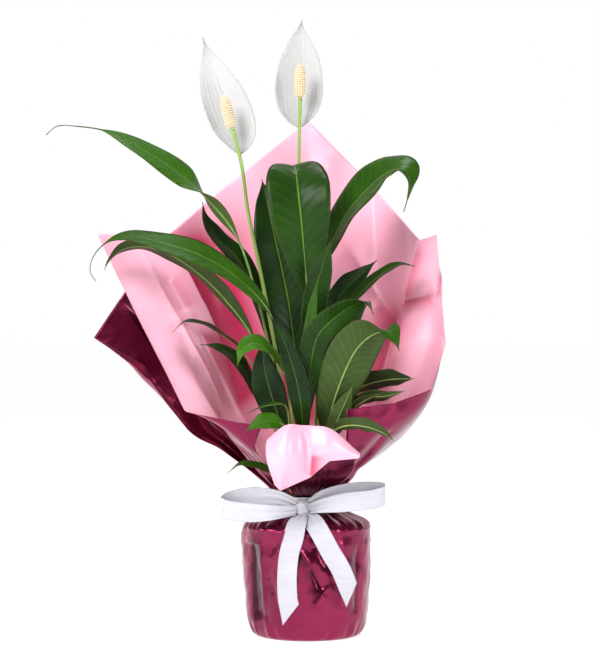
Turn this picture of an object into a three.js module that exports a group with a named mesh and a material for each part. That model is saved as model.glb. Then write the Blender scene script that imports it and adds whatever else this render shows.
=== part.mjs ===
// A peace lily in its plastic grower's pot, dressed as a gift: a two-tone film sheet is gathered up round
// the pot, tied with a satin ribbon and flared out into a collar behind the leaves.
// Millimetres, +Z up. The origin is the centre of the flat underside that the plant stands on, and -Y is
// the front.
import * as THREE from "three";

// ---- Driving dimensions ----
const POT_TOP_RADIUS = 60;
const POT_BASE_RADIUS = 45;
const POT_HEIGHT = 107;
const POT_WALL = 1.4;
const RIM_WIDTH = 2.2;
const SOIL_LEVEL = 99;
const FILM = 0.8; // thickness of the film's solids
const GAP = 0.4; // between pieces that touch
const TIE_Z = 134; // height of the ribbon's tie
const NECK_RADIUS = 26.5;
const RIBBON_WIDTH = 19;
const RIBBON = 0.7; // thickness of the ribbon's solids
const PETIOLE_RADIUS = 1.9; // a leaf's stalk at the soil
const PETIOLE_TAPER = 0.4; // share of that radius lost on the way to the blade
const STEM_RADIUS = 2.1; // a flower's stalk at the soil
const STEM_TIP_RADIUS = 1.6; // and below its flower
const BLADE = 1.0; // thickness of a leaf blade at its midrib
const BLADE_TAPER = 0.4; // share of that thickness lost on the way to the tip
const BLADE_END = 0.995; // share of its path that a blade runs along
const NARROWEST_BLADE = 0.7; // half the width of a blade's tip
const LATHE_STEPS = 28;

// ---- Materials ----
const paint = (colour, roughness, metalness = 0) =>
  new THREE.MeshStandardMaterial({ color: colour, roughness, metalness, side: THREE.DoubleSide });
const finishes = {
  leaf: paint(0x2c5a1c, 0.35),
  stalk: paint(0x86a83c, 0.5),
  spathe: paint(0xf4f4f0, 0.5),
  spadix: paint(0xe8d6ae, 0.8),
  pot: paint(0x5a3324, 0.6),
  soil: paint(0x2e2019, 0.95),
  film: paint(0xa02a62, 0.3, 0.5),
  pinkFilm: paint(0xf0a8c4, 0.45),
  ribbon: paint(0xf2f0f6, 0.35),
};

// ---- Building blocks ----
const vec = (p) => new THREE.Vector3(...p);

// One closed surface from rings of points with the same number of corners each, in order along the piece.
// The two halves of each ring are split along matching diagonals, so the faces of a thin piece never cross.
function loft(rings) {
  const n = rings[0].length;
  const corners = rings.flat();
  const faces = [];
  for (let r = 0; r + 1 < rings.length; r++) {
    for (let i = 0; i < n; i++) {
      const [a, b] = [r * n + i, r * n + ((i + 1) % n)];
      if (i < n / 2) faces.push(a, b, b + n, a, b + n, a + n);
      else faces.push(a, b, a + n, b, b + n, a + n);
    }
  }
  const last = (rings.length - 1) * n;
  for (let i = 1; i + 1 < n; i++) {
    faces.push(0, i + 1, i);
    faces.push(last, last + i, last + i + 1);
  }
  const geometry = new THREE.BufferGeometry();
  const places = corners.flatMap((c) => c.toArray());
  geometry.setAttribute("position", new THREE.Float32BufferAttribute(places, 3));
  geometry.setIndex(faces);
  geometry.computeVertexNormals();
  return geometry;
}

// The frame at a place on a path: its direction, the side vector squared up to it, and the normal of the
// upper face.
function frameAt(curve, t, sideHint) {
  const along = curve.getTangent(t);
  const side = sideHint.clone().addScaledVector(along, -sideHint.dot(along)).normalize();
  return { at: curve.getPoint(t), along, side, up: side.clone().cross(along) };
}

// Share of a blade's full width at u, from 0 at its stalk to 1 at its drawn-out tip.
const bladeShare = (u) => Math.max(Math.sin(Math.PI * u ** 0.75), 0) ** (0.85 + 0.6 * u);

// Corners of a blade's cross-section: how far out from the midrib each lies, and which face it is on.
const BLADE_SECTION = [[-1, 0], [-0.14, 1], [0.14, 1], [1, 0], [0.14, -1], [-0.14, -1]];

// A leaf: one closed body whose round stalk widens into a thin blade folded along its midrib. stem is the
// index of the path point where the blade begins, and fold how far each half is raised, in degrees.
function leafGeometry({ path, stem, half, side, tipSide = side, fold = 18, rings = [5, 10] }) {
  const curve = new THREE.CatmullRomCurve3(path.map(vec), false, "centripetal");
  const start = stem / (path.length - 1);
  const [stalkRings, bladeRings] = rings;
  const rise = Math.sin(THREE.MathUtils.degToRad(fold));
  const reach = Math.cos(THREE.MathUtils.degToRad(fold));
  const stalkRing = (k) => {
    const share = k / (stalkRings || 1);
    const f = frameAt(curve, start * share, vec(side));
    const radius = PETIOLE_RADIUS * (1 - PETIOLE_TAPER * share);
    return BLADE_SECTION.map((_, i) => {
      const turn = Math.PI * (1 - i / 3);
      return f.at
        .clone()
        .addScaledVector(f.side, radius * Math.cos(turn))
        .addScaledVector(f.up, radius * Math.sin(turn));
    });
  };
  const bladeRing = (k) => {
    const u = k / bladeRings;
    const f = frameAt(curve, start + (1 - start) * u * BLADE_END, vec(side).lerp(vec(tipSide), u));
    const width = Math.max(half * bladeShare(u), NARROWEST_BLADE);
    const thick = (BLADE / 2) * (1 - BLADE_TAPER * u);
    return BLADE_SECTION.map(([out, face]) =>
      f.at
        .clone()
        .addScaledVector(f.side, width * out * reach)
        .addScaledVector(f.up, width * Math.abs(out) * rise + thick * face),
    );
  };
  return loft([
    ...Array.from({ length: stalkRings + 1 }, (_, k) => stalkRing(k)),
    ...Array.from({ length: bladeRings }, (_, k) => bladeRing(k + 1)),
  ]);
}

// A round tapering stalk along a path.
function stalkGeometry(path, radius, tipRadius, steps = 12, sides = 8) {
  const curve = new THREE.CatmullRomCurve3(path.map(vec), false, "centripetal");
  const rings = [];
  for (let k = 0; k <= steps; k++) {
    const t = k / steps;
    const f = frameAt(curve, t, vec([1, 0, 0]));
    const r = THREE.MathUtils.lerp(radius, tipRadius, t);
    rings.push(
      Array.from({ length: sides }, (_, i) => {
        const turn = (-2 * Math.PI * i) / sides;
        return f.at
          .clone()
          .addScaledVector(f.side, r * Math.cos(turn))
          .addScaledVector(f.up, r * Math.sin(turn));
      }),
    );
  }
  return loft(rings);
}

// A flat band of ribbon along a path. side is the direction across it at the start, and tipSide at the end.
// width is what it is gathered to at its first end, or at both, and cut slants the far end.
function bandGeometry(path, { side, tipSide = side, width, gathered, cut = 0, steps }) {
  const curve = new THREE.CatmullRomCurve3(path.map(vec), false, "centripetal");
  const rings = [];
  for (let k = 0; k <= steps; k++) {
    const t = k / steps;
    const f = frameAt(curve, t, vec(side).lerp(vec(tipSide), t));
    const free = Math.min((gathered === 2 ? Math.min(t, 1 - t) : t) * 4, 1);
    const half = THREE.MathUtils.lerp(width, RIBBON_WIDTH, free) / 2;
    const slant = cut * Math.max(1 - (1 - t) * 4, 0);
    rings.push(
      [[-1, 1], [1, 1], [1, -1], [-1, -1]].map(([a, b]) =>
        f.at
          .clone()
          .addScaledVector(f.side, half * a)
          .addScaledVector(f.along, slant * a)
          .addScaledVector(f.up, (RIBBON / 2) * b),
      ),
    );
  }
  return loft(rings);
}

const catmull = (points, t) => new THREE.CatmullRomCurve3(points, false, "centripetal").getPoint(t);

// A point of a film panel: rows run from the neck to the free edge, and columns across. Near the free edge
// the panel follows straight lines between its columns, as cut film does.
function panelPoint(rows, u, v) {
  const row = rows.map((r) => catmull(r.map(vec), u));
  const soft = catmull(row, v);
  const edge = rows[rows.length - 1].map(vec);
  const at = Math.min(u * (edge.length - 1), edge.length - 1 - 1e-6);
  const straight = edge[Math.floor(at)].clone().lerp(edge[Math.floor(at) + 1], at % 1);
  const smoothEdge = catmull(edge, u);
  return soft.addScaledVector(straight.sub(smoothEdge), v ** 6);
}

// A film panel as a closed solid, film thick.
function panelGeometry(rows, across = 12, up = 9) {
  const point = (i, j) => panelPoint(rows, i / across, j / up);
  const step = 1e-3;
  const sides = [1, -1].map((sign) =>
    Array.from({ length: up + 1 }, (_, j) =>
      Array.from({ length: across + 1 }, (_, i) => {
        const [u, v] = [Math.min(i / across, 1 - step), Math.min(j / up, 1 - step)];
        const here = panelPoint(rows, u, v);
        const du = panelPoint(rows, u + step, v).sub(here);
        const dv = panelPoint(rows, u, v + step).sub(here);
        return point(i, j).addScaledVector(du.cross(dv).normalize(), (sign * FILM) / 2);
      }),
    ),
  );
  const n = (across + 1) * (up + 1);
  const index = (s, i, j) => s * n + j * (across + 1) + i;
  const faces = [];
  const quad = (a, b, c, d) => faces.push(a, b, c, a, c, d);
  for (let j = 0; j < up; j++) {
    for (let i = 0; i < across; i++) {
      quad(index(0, i, j), index(0, i + 1, j), index(0, i + 1, j + 1), index(0, i, j + 1));
      quad(index(1, i, j), index(1, i, j + 1), index(1, i + 1, j + 1), index(1, i + 1, j));
    }
    quad(index(0, 0, j), index(0, 0, j + 1), index(1, 0, j + 1), index(1, 0, j));
    quad(index(0, across, j + 1), index(0, across, j), index(1, across, j), index(1, across, j + 1));
  }
  for (let i = 0; i < across; i++) {
    quad(index(0, i + 1, 0), index(0, i, 0), index(1, i, 0), index(1, i + 1, 0));
    quad(index(0, i, up), index(0, i + 1, up), index(1, i + 1, up), index(1, i, up));
  }
  const geometry = new THREE.BufferGeometry();
  const corners = sides.flat(2).flatMap((c) => c.toArray());
  geometry.setAttribute("position", new THREE.Float32BufferAttribute(corners, 3));
  geometry.setIndex(faces);
  geometry.computeVertexNormals();
  return geometry;
}

// A turned piece about Z, from a profile of [radius, height] that starts and ends on the axis.
const turned = (profile, steps = LATHE_STEPS) =>
  new THREE.LatheGeometry(profile.map(([r, z]) => new THREE.Vector2(r, z)), steps).rotateX(Math.PI / 2);

// ---- The pot, its soil and the film round them ----
function growersPot() {
  const floor = FILM + GAP;
  const slope = (POT_TOP_RADIUS - POT_BASE_RADIUS) / (POT_HEIGHT - floor);
  const outer = (z) => POT_BASE_RADIUS + slope * (z - floor);
  const rimZ = POT_HEIGHT - 9;
  return turned([
    [0, floor],
    [POT_BASE_RADIUS, floor],
    [outer(rimZ), rimZ],
    [outer(rimZ) + RIM_WIDTH, rimZ + 1],
    [POT_TOP_RADIUS + RIM_WIDTH, POT_HEIGHT],
    [POT_TOP_RADIUS - POT_WALL, POT_HEIGHT],
    [outer(floor + POT_WALL) - POT_WALL, floor + POT_WALL],
    [0, floor + POT_WALL],
  ]);
}

function soilPlug() {
  const floor = FILM + GAP + POT_WALL + GAP;
  const slope = (POT_TOP_RADIUS - POT_BASE_RADIUS) / (POT_HEIGHT - FILM - GAP);
  const outer = (z) => POT_BASE_RADIUS + slope * (z - FILM - GAP) - POT_WALL - GAP - 0.2;
  return turned([
    [0, floor],
    [outer(floor), floor],
    [outer(SOIL_LEVEL - 3), SOIL_LEVEL - 3],
    [outer(SOIL_LEVEL) - 6, SOIL_LEVEL - 1],
    [0, SOIL_LEVEL],
  ]);
}

// The film round the pot: flat underneath, full at the sides, and drawn in over the rim to the tie.
const skirt = [
  [50, 0],
  [56, 6],
  [61.5, 26],
  [64, 60],
  [64.5, 96],
  [63.8, 109],
  [57, 116],
  [45, 121],
  [34, 126],
  [28, 130],
  [NECK_RADIUS, TIE_Z],
  [NECK_RADIUS, TIE_Z + 4],
];
function potWrap() {
  const inside = skirt
    .slice(1)
    .reverse()
    .map(([r, z]) => [r - FILM, z < TIE_Z ? Math.max(z - (r < 60 && z > 100 ? FILM : 0), FILM) : z]);
  return turned([[0, 0], ...skirt, ...inside, [49, FILM], [0, FILM]]);
}

// ---- The film collar: panels of the sheet above the tie, rows from the neck to the free edge ----
const collar = {
  film_back_panel: [
    [[-23, 8, 140], [-13, 20, 140], [0, 24, 140], [13, 20, 140], [23, 8, 140]],
    [[-66, 50, 190], [-48, 72, 212], [-2, 84, 222], [40, 74, 214], [62, 32, 205]],
    [[-112, 62, 290], [-88, 92, 330], [-2, 106, 366], [72, 92, 332], [94, 42, 296]],
    [[-166, 62, 382], [-86, 100, 454], [2, 114, 525], [68, 98, 456], [118, 46, 393]],
  ],
  film_left_panel: [
    [[-23.5, 2, 140], [-23.5, -6, 140], [-20, -13, 140], [-14.5, -19, 140]],
    [[-62, 26, 222], [-84, -16, 214], [-62, -46, 184], [-34, -58, 168]],
    [[-90, 14, 302], [-134, -22, 312], [-100, -58, 224], [-50, -76, 190]],
    [[-136, 26, 398], [-208, -20, 400], [-118, -70, 225], [-44, -84, 212]],
  ],
  film_right_panel: [
    [[14.5, -19, 140], [20, -13, 140], [23.5, -5, 140], [24, 4, 140]],
    [[36, -64, 172], [72, -50, 184], [98, -8, 208], [82, 14, 210], [60, 20, 206]],
    [[38, -90, 204], [84, -76, 214], [120, -38, 236], [131, 0, 300], [108, 18, 300], [88, 30, 297]],
    [[38, -94, 228], [84, -78, 234], [122, -52, 246], [138, -16, 290], [131, 14, 400], [111, 36, 394]],
  ],
  film_front_flap: [
    [[-11, -23, 140], [-5.5, -24, 140], [0, -24.5, 140], [5.5, -24, 140], [11, -23, 140]],
    [[-24, -56, 164], [-12, -63, 168], [2, -66, 168], [20, -67, 168], [42, -62, 164]],
    [[-31, -90, 192], [-17, -97, 206], [-2, -95, 207], [18, -97, 203], [46, -89, 180]],
    [[-38, -97, 200], [-20, -107, 214], [-2, -101, 213], [20, -105, 211], [49, -94, 187]],
    [[-39, -102, 184], [-21, -119, 186], [-2, -108, 186], [20, -113, 193], [50, -99, 184]],
    [[-31.5, -86, 156], [-26, -92, 150.5], [3, -96, 164], [21, -104, 180], [48, -98, 182]],
  ],
  film_outer_panel: [
    [[-25, 12, 140], [-27, 4, 140], [-27, -4, 140]],
    [[-82, 50, 200], [-68, 12, 184], [-56, -10, 164]],
    [[-150, 58, 300], [-144, 14, 256], [-112, -24, 208]],
    [[-186, 60, 346], [-214, 8, 296], [-152, -18, 256]],
  ],
};

// ---- Leaves ----
// path runs from the soil through the tie to the tip, stem is the path point where the blade begins, half
// is half of the blade's greatest width, and side and tipSide point across it at its base and at its tip.
const leaves = {
  leaf_top_left: {
    path: [
      [-8, 9, 100], [-8, 9.6, 142], [-30, -4, 254], [-49, -18, 334], [-68, -28, 393], [-90, -34, 425],
      [-115, -40, 449], [-144, -46, 470], [-171, -50, 486], [-197, -52, 498], [-223, -54, 502],
      [-243, -56, 502], [-254, -58, 493],
    ],
    stem: 4, half: 19, side: [-0.6, 0.66, -0.45], tipSide: [0, 0.7, 0.7],
  },
  leaf_long_left: {
    path: [
      [-10, -6, 100], [-10.8, -6.2, 142], [-20, -30, 255], [-36, -48, 319], [-65, -58, 352],
      [-99, -66, 374], [-137, -72, 387], [-171, -76, 394], [-191, -80, 389], [-205, -82, 375],
      [-208, -84, 360], [-202, -84, 350],
    ],
    stem: 3, half: 21, side: [0.2, 0.65, 0.7], tipSide: [0, 0.9, 0.4],
  },
  leaf_under_left: {
    path: [
      [-12, 2, 100], [-12.3, 2.2, 142], [-32, -12, 244], [-53, -26, 296], [-78, -34, 332],
      [-105, -40, 359], [-134, -44, 378], [-161, -46, 386], [-182, -48, 382], [-194, -50, 370],
      [-198, -50, 362],
    ],
    stem: 3, half: 17, side: [-0.45, 0.8, -0.4], tipSide: [0, 0.9, -0.4],
  },
  leaf_back_left: {
    path: [
      [-13, 13, 100], [-14.1, 14.1, 142], [-27, 24, 253], [-45, 26, 324], [-68, 24, 373], [-92, 20, 399],
      [-103, 16, 417], [-105, 12, 433],
    ],
    stem: 2, half: 14, side: [0.6, 0.7, 0.3],
  },
  leaf_centre_large: {
    path: [
      [4, 4, 100], [3.9, 3.9, 142], [-2, -18, 254], [0, -32, 334], [-4, -42, 392], [-9, -40, 441],
      [-12, -24, 464], [-17, -6, 467], [-24, 6, 458], [-30, 11, 438],
    ],
    stem: 3, half: 32, side: [1, 0, 0],
  },
  leaf_centre_back: {
    path: [
      [0, 12, 100], [0, 12.5, 142], [-9, 14, 254], [-19, 16, 334], [-32, 20, 395], [-41, 26, 435],
      [-46, 32, 458],
    ],
    stem: 2, half: 24, side: [1, 0.1, 0.2],
  },
  leaf_top_right: {
    path: [
      [7, 17, 100], [7.7, 18.5, 142], [11, 16, 260], [21, 4, 376], [36, -2, 414], [57, -8, 441],
      [80, -14, 460], [95, -20, 463], [101, -26, 452], [99, -28, 434], [95, -28, 420],
    ],
    stem: 3, half: 27, side: [0.3, -0.6, -0.65], tipSide: [-0.6, -0.75, -0.2],
  },
  leaf_centre_right: {
    path: [
      [0, 0, 100], [0, 0, 142], [2, -34, 255], [4, -46, 309], [11, -54, 353], [18, -56, 376],
      [23, -54, 393],
    ],
    stem: 2, half: 14, side: [0.9, 0.4, -0.2],
  },
  leaf_young_centre: {
    path: [[-4, -4, 100], [-3.9, -3.9, 142], [-1, -44, 236], [2, -58, 289], [6, -64, 328], [11, -66, 358]],
    stem: 2, half: 8, side: [0.8, -0.6, 0],
  },
  leaf_right_upper: {
    path: [
      [13, 13, 100], [14.1, 14.1, 142], [12, 14, 254], [19, 8, 309], [35, 4, 340], [53, 0, 358],
      [70, -4, 374],
    ],
    stem: 3, half: 14, side: [0.5, -0.5, -0.65],
  },
  leaf_right_narrow: {
    path: [
      [18, 7, 100], [18.5, 7.7, 142], [18, 0, 234], [29, -10, 304], [49, -14, 336], [74, -16, 360],
      [92, -18, 369], [107, -22, 367],
    ],
    stem: 3, half: 9, side: [0.3, -0.85, -0.4],
  },
  leaf_right_bent: {
    path: [
      [4, -11, 100], [4.3, -11.7, 142], [0, -50, 216], [3, -66, 265], [10, -74, 298], [28, -80, 317],
      [45, -84, 328], [57, -88, 331], [63, -92, 319],
    ],
    stem: 2, half: 16, side: [-0.85, 0.2, 0.4], tipSide: [-0.8, -0.4, 0],
  },
  leaf_right_shaded: {
    path: [
      [8, 9, 100], [8, 9.6, 142], [13, -18, 225], [25, -28, 274], [38, -34, 304], [50, -38, 320],
      [60, -40, 330],
    ],
    stem: 2, half: 13, side: [0.8, -0.4, -0.4],
  },
  leaf_right_large: {
    path: [
      [10, -6, 100], [10.8, -6.2, 142], [18, -50, 197], [25, -72, 232], [35, -84, 262], [48, -92, 287],
      [63, -98, 300], [76, -104, 303], [83, -108, 295], [87, -108, 284],
    ],
    stem: 2, half: 25, side: [-1, 0.1, 0.2], tipSide: [-0.87, -0.36, -0.2],
  },
  leaf_edge_on: {
    path: [[4, -4, 100], [3.9, -3.9, 142], [9, -40, 216], [14, -52, 265], [25, -58, 289], [38, -62, 314]],
    stem: 2, half: 8, side: [-0.5, 0.85, 0],
  },
  leaf_right_striped: {
    path: [
      [19, 0, 100], [20, 0, 142], [24, -30, 206], [36, -44, 236], [55, -54, 250], [78, -62, 256],
      [93, -68, 257], [104, -72, 257],
    ],
    stem: 3, half: 14, side: [0, -0.7, 0.65],
  },
  leaf_right_low: {
    path: [
      [12, 2, 100], [12.3, 2.2, 142], [27, -44, 201], [39, -60, 226], [58, -71, 238], [77, -80, 241],
      [95, -84, 246],
    ],
    stem: 3, half: 9, side: [0, -0.7, 0.6],
  },
  leaf_right_small: {
    path: [
      [18, -7, 100], [18.5, -7.7, 142], [25, -50, 196], [35, -66, 217], [47, -75, 231], [60, -82, 239],
      [72, -88, 244],
    ],
    stem: 3, half: 8, side: [0, -0.8, 0.5],
  },
  leaf_front_right: {
    path: [
      [7, -17, 100], [7.7, -18.5, 142], [18, -64, 188], [26, -90, 208], [40, -104, 214], [59, -110, 212],
      [73, -110, 206], [82, -109, 199],
    ],
    stem: 3, half: 11, side: [-0.2, -0.7, 0.6],
  },
  leaf_young_right: {
    path: [
      [13, -13, 100], [14.1, -14.1, 142], [20, -60, 194], [29, -77, 217], [37, -82, 236], [44, -88, 252],
    ],
    stem: 2, half: 10, side: [-1, 0.1, 0.2],
  },
  leaf_front_strap: {
    path: [
      [0, -18, 100], [0, -20, 142], [-4, -60, 197], [-6, -78, 232], [-13, -84, 266], [-25, -86, 299],
      [-38, -86, 321],
    ],
    stem: 2, half: 11, side: [1, 0, 0],
  },
  leaf_front_left: {
    path: [
      [-4, -11, 100], [-4.3, -11.7, 142], [-14, -54, 216], [-21, -68, 260], [-36, -78, 283],
      [-51, -84, 291], [-62, -90, 285], [-67, -92, 269],
    ],
    stem: 3, half: 13, side: [0, 0.7, 0.7], tipSide: [-0.9, 0.2, 0.3],
  },
  leaf_left_thin: {
    path: [
      [-17, 7, 100], [-18.5, 7.7, 142], [-39, 6, 234], [-63, 0, 282], [-85, -8, 300], [-103, -18, 310],
      [-120, -28, 312], [-133, -36, 301],
    ],
    stem: 3, half: 6, side: [0, 0.9, 0.3],
  },
  leaf_left_shaded: {
    path: [
      [-19, 0, 100], [-20, 0, 142], [-35, -8, 214], [-55, -14, 249], [-72, -18, 276], [-90, -20, 287],
      [-106, -20, 290],
    ],
    stem: 2, half: 11, side: [0.3, 0.8, 0.5],
  },
  leaf_left_dark: {
    path: [
      [-4, 4, 100], [-3.9, 3.9, 142], [-10, -19, 170], [-23, -42, 206], [-34, -52, 238], [-42, -58, 270],
      [-44, -58, 299],
    ],
    stem: 3, half: 17, side: [1, -0.2, 0],
  },
  leaf_left_sliver: {
    path: [
      [-18, -7, 100], [-18.5, -7.7, 142], [-17, -58, 207], [-22, -76, 232], [-38, -84, 232],
      [-58, -88, 224],
    ],
    stem: 3, half: 6, side: [0, 1, 0.1],
  },
  leaf_left_small: {
    path: [
      [-7, -17, 100], [-7.7, -18.5, 142], [-15, -66, 193], [-22, -84, 212], [-36, -92, 217],
      [-48, -96, 214], [-59, -96, 208],
    ],
    stem: 3, half: 10, side: [0, 0.6, 0.75],
  },
  leaf_left_lowest: {
    path: [
      [-13, -13, 100], [-14.1, -14.1, 142], [-18, -34, 151], [-26, -53, 161], [-38, -68, 169],
      [-52, -75, 174], [-65, -78, 175], [-76, -82, 167],
    ],
    stem: 3, half: 6, side: [0, 0.8, 0.5],
  },
};

// ---- Flowers: a stalk, a white spathe and a knobbly spadix each ----
const flowers = {
  flower_left: {
    stem: [
      [-7, 17, 100], [-7.7, 18.5, 142], [-26, 8, 254], [-47, 0, 364], [-59, -8, 423], [-65, -14, 468],
      [-74, -18, 503],
    ],
    spathe: [[-66, -8, 479], [-70, 0, 496], [-78, 5, 520], [-90, 6, 552], [-98, 2, 576], [-104, -6, 596]],
    half: 25,
    side: [0.94, 0, -0.3],
  },
  flower_right: {
    stem: [
      [0, 19, 100], [0, 20, 142], [-2, 28, 253], [-7, 27, 355], [-9, 21, 435], [-8, 15, 485],
      [-7, 8, 537],
    ],
    spathe: [[-7, 19, 508], [-8, 27, 524], [-8, 33, 548], [-7, 33, 580], [-7, 27, 602], [-5, 18, 617]],
    half: 26,
    side: [1, 0, 0],
  },
};
const SPATHE_FOLD = 24; // how far each half of a spathe is raised, in degrees
const SPADIX_RADIUS = 6;
const SPADIX_LENGTH = 34;
const SPADIX_SIDES = 10;

function spadixGeometry() {
  const profile = [[0, 0], [0.6, 0.02], [1, 0.15], [1, 0.6], [0.8, 0.86], [0.4, 0.97], [0, 1]];
  return turned(profile.map(([r, z]) => [r * SPADIX_RADIUS, z * SPADIX_LENGTH]), SPADIX_SIDES);
}

// ---- Satin ribbon: a band round the neck, the knot, two loops and two tails ----
const KNOT = [-4, -46, 130];
const KNOT_SIZE = [7.5, 4.5, 7];
const BAND = 1.2; // thickness of the band, which is several turns of ribbon
const FLARE = 1.6;
const ribbon = {
  bow_loop_left: [
    [
      [-12.5, -47, 134], [-30, -54, 141], [-54, -55, 142], [-74, -54, 138], [-82, -58, 133.5],
      [-81, -63, 131], [-72, -67, 129], [-54, -68.5, 127.5], [-32, -66, 127.5], [-12.5, -54, 128.5],
    ],
    { side: [0.05, -0.12, 1], width: 9, steps: 22, gathered: 2 },
  ],
  bow_loop_right: [
    [
      [4.5, -47, 134], [16, -53, 141], [42, -54, 146], [64, -53.5, 146.5], [74, -56, 145.5], [76, -60, 144],
      [73, -64, 142.5], [62, -66.5, 140.5], [38, -67.5, 137.5], [16, -62, 134], [4.5, -53, 130],
    ],
    { side: [0, -0.12, 1], width: 9, steps: 26, gathered: 2 },
  ],
  bow_tail_left: [
    [
      [-8, -58, 117.5], [-11, -68, 113], [-13, -73, 104], [-17.5, -73, 88], [-19.5, -72, 66],
      [-19, -71, 47], [-16, -70, 29],
    ],
    { side: [1, 0, 0.1], cut: -9, width: 9, steps: 14, gathered: 1 },
  ],
  bow_tail_right: [
    [
      [3, -58, 117.5], [9, -68, 113], [15, -74, 104], [22, -75, 91], [32, -74, 74], [39.5, -71, 56],
      [43, -68, 48],
    ],
    { side: [1, 0, 0.4], cut: -10, width: 9, steps: 14, gathered: 1 },
  ],
};

// The band round the neck, flared at its lower edge where the film spreads.
function neckBand() {
  const [inner, low, waist, high] = [NECK_RADIUS + GAP, TIE_Z - 3.2, TIE_Z - 1, TIE_Z + 4.5];
  const outer = inner + BAND;
  return turned([
    [inner + FLARE, low],
    [outer + FLARE, low],
    [outer, waist],
    [outer, high],
    [inner, high],
    [inner, waist],
    [inner + FLARE, low],
  ]);
}

// ---- Assembly ----
const plant = new THREE.Group();
function add(name, geometry, finish, place) {
  const mesh = new THREE.Mesh(geometry, finishes[finish]);
  mesh.name = name;
  if (place) mesh.position.set(...place);
  plant.add(mesh);
  return mesh;
}

add("growers_pot", growersPot(), "pot");
add("potting_soil", soilPlug(), "soil");
add("pot_wrap", potWrap(), "film");
for (const [name, rows] of Object.entries(collar)) add(name, panelGeometry(rows), "pinkFilm");
for (const [name, leaf] of Object.entries(leaves)) add(name, leafGeometry(leaf), "leaf");
for (const [name, flower] of Object.entries(flowers)) {
  const { stem, spathe, half, side } = flower;
  const hood = { path: spathe, stem: 0, half, side, fold: SPATHE_FOLD, rings: [0, 12] };
  add(`${name}_stalk`, stalkGeometry(stem, STEM_RADIUS, STEM_TIP_RADIUS), "stalk");
  add(`${name}_spathe`, leafGeometry(hood), "spathe");
  const top = vec(stem.at(-1));
  const direction = top.clone().sub(vec(stem.at(-2))).normalize();
  const foot = top.addScaledVector(direction, GAP).toArray();
  const spadix = add(`${name}_spadix`, spadixGeometry(), "spadix", foot);
  spadix.quaternion.setFromUnitVectors(new THREE.Vector3(0, 0, 1), direction);
}
add("ribbon_neck_band", neckBand(), "ribbon");
add("bow_knot", new THREE.SphereGeometry(1, 12, 8).scale(...KNOT_SIZE), "ribbon", KNOT);
for (const [name, [path, shape]] of Object.entries(ribbon)) add(name, bandGeometry(path, shape), "ribbon");

export default plant;
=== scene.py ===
"""Peace lily in a wrapper: the finished look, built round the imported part, in metres with +Z up."""

import logging
import math
from dataclasses import dataclass
from enum import Enum
from typing import Callable, Sequence

import bpy
import numpy as np
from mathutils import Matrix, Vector


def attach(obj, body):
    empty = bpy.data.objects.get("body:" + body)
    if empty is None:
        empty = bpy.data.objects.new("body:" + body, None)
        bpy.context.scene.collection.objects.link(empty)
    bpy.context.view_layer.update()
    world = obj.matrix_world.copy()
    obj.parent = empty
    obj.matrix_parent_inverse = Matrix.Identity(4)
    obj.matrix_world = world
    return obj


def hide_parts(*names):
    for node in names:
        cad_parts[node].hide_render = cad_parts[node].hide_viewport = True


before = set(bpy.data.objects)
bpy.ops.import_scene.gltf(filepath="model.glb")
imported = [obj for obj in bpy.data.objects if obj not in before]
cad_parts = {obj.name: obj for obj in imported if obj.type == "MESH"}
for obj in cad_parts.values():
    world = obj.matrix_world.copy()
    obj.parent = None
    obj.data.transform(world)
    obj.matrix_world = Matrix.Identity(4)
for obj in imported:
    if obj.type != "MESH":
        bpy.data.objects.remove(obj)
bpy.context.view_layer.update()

LOG = logging.getLogger("peace_lily")

# Lengths are in millimetres, unless they say otherwise.
MM = 0.001
BODY = "root"
TIE_Z = 134.0
SEAM_GAP = 0.00001  # metres between points that count as one
BLADE_THICKNESS = 0.5
HOOD_THICKNESS = 0.6
COLLAR_THICKNESS = 0.2
SKIRT_THICKNESS = 0.25
RIBBON_THICKNESS = 0.35
TIE_THICKNESS = 0.4
BLADE_END = 0.995  # a blade stops just short of the end of its path
BLADE_BULGE = 0.75  # the usual place of a blade's greatest width
VEIN_RATE = 150  # radians of side vein along a whole leaf
VEIN_SLANT = 0.13  # how far the side veins sweep towards the tip
CREASE_WANDER = 5.0  # how far creases leave a straight line
CREASE_WANDER_LENGTH = 23.0
CRUMPLE_GAIN = 2.2  # brings several sets of creases back to about 1
NUDGE = 2e-3  # step along u and v when a panel's normal is measured

Point = tuple[float, float, float]
Colour = tuple[float, float, float]
Array = np.ndarray


# ---------------------------------------------------------------- curves and surfaces


def catmull(points: Array, t: Array) -> Array:
    """A centripetal Catmull-Rom curve, evaluated for each sample.

    Args:
        points: control points, shaped (count, samples or 1, 3).
        t: place along the curve from 0 to 1, shaped (samples,).

    Returns:
        The points on the curve, shaped (samples, 3).
    """
    count, samples = len(points), len(t)
    net = np.broadcast_to(points, (count, samples, 3))
    net = np.concatenate([[2 * net[0] - net[1]], net, [2 * net[-1] - net[-2]]])
    place = np.clip(t, 0, 1) * (count - 1)
    first = np.minimum(place.astype(int), count - 2)
    share = (place - first)[:, None]
    row = np.arange(samples)
    a, b, c, d = (net[first + k, row] for k in range(4))
    pairs = ((a, b), (b, c), (c, d))
    s0, s1, s2 = (np.maximum(np.linalg.norm(q - p, axis=1, keepdims=True), 1e-9) ** 0.5 for p, q in pairs)
    leave = ((b - a) / s0 - (c - a) / (s0 + s1) + (c - b) / s1) * s1
    arrive = ((c - b) / s1 - (d - b) / (s1 + s2) + (d - c) / s2) * s1
    s, ss, sss = share, share**2, share**3
    out = (2 * sss - 3 * ss + 1) * b + (sss - 2 * ss + s) * leave
    return out + (3 * ss - 2 * sss) * c + (sss - ss) * arrive


def unit(vectors: Array) -> Array:
    """Each row scaled to length one."""
    return vectors / np.maximum(np.linalg.norm(vectors, axis=-1, keepdims=True), 1e-12)


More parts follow.
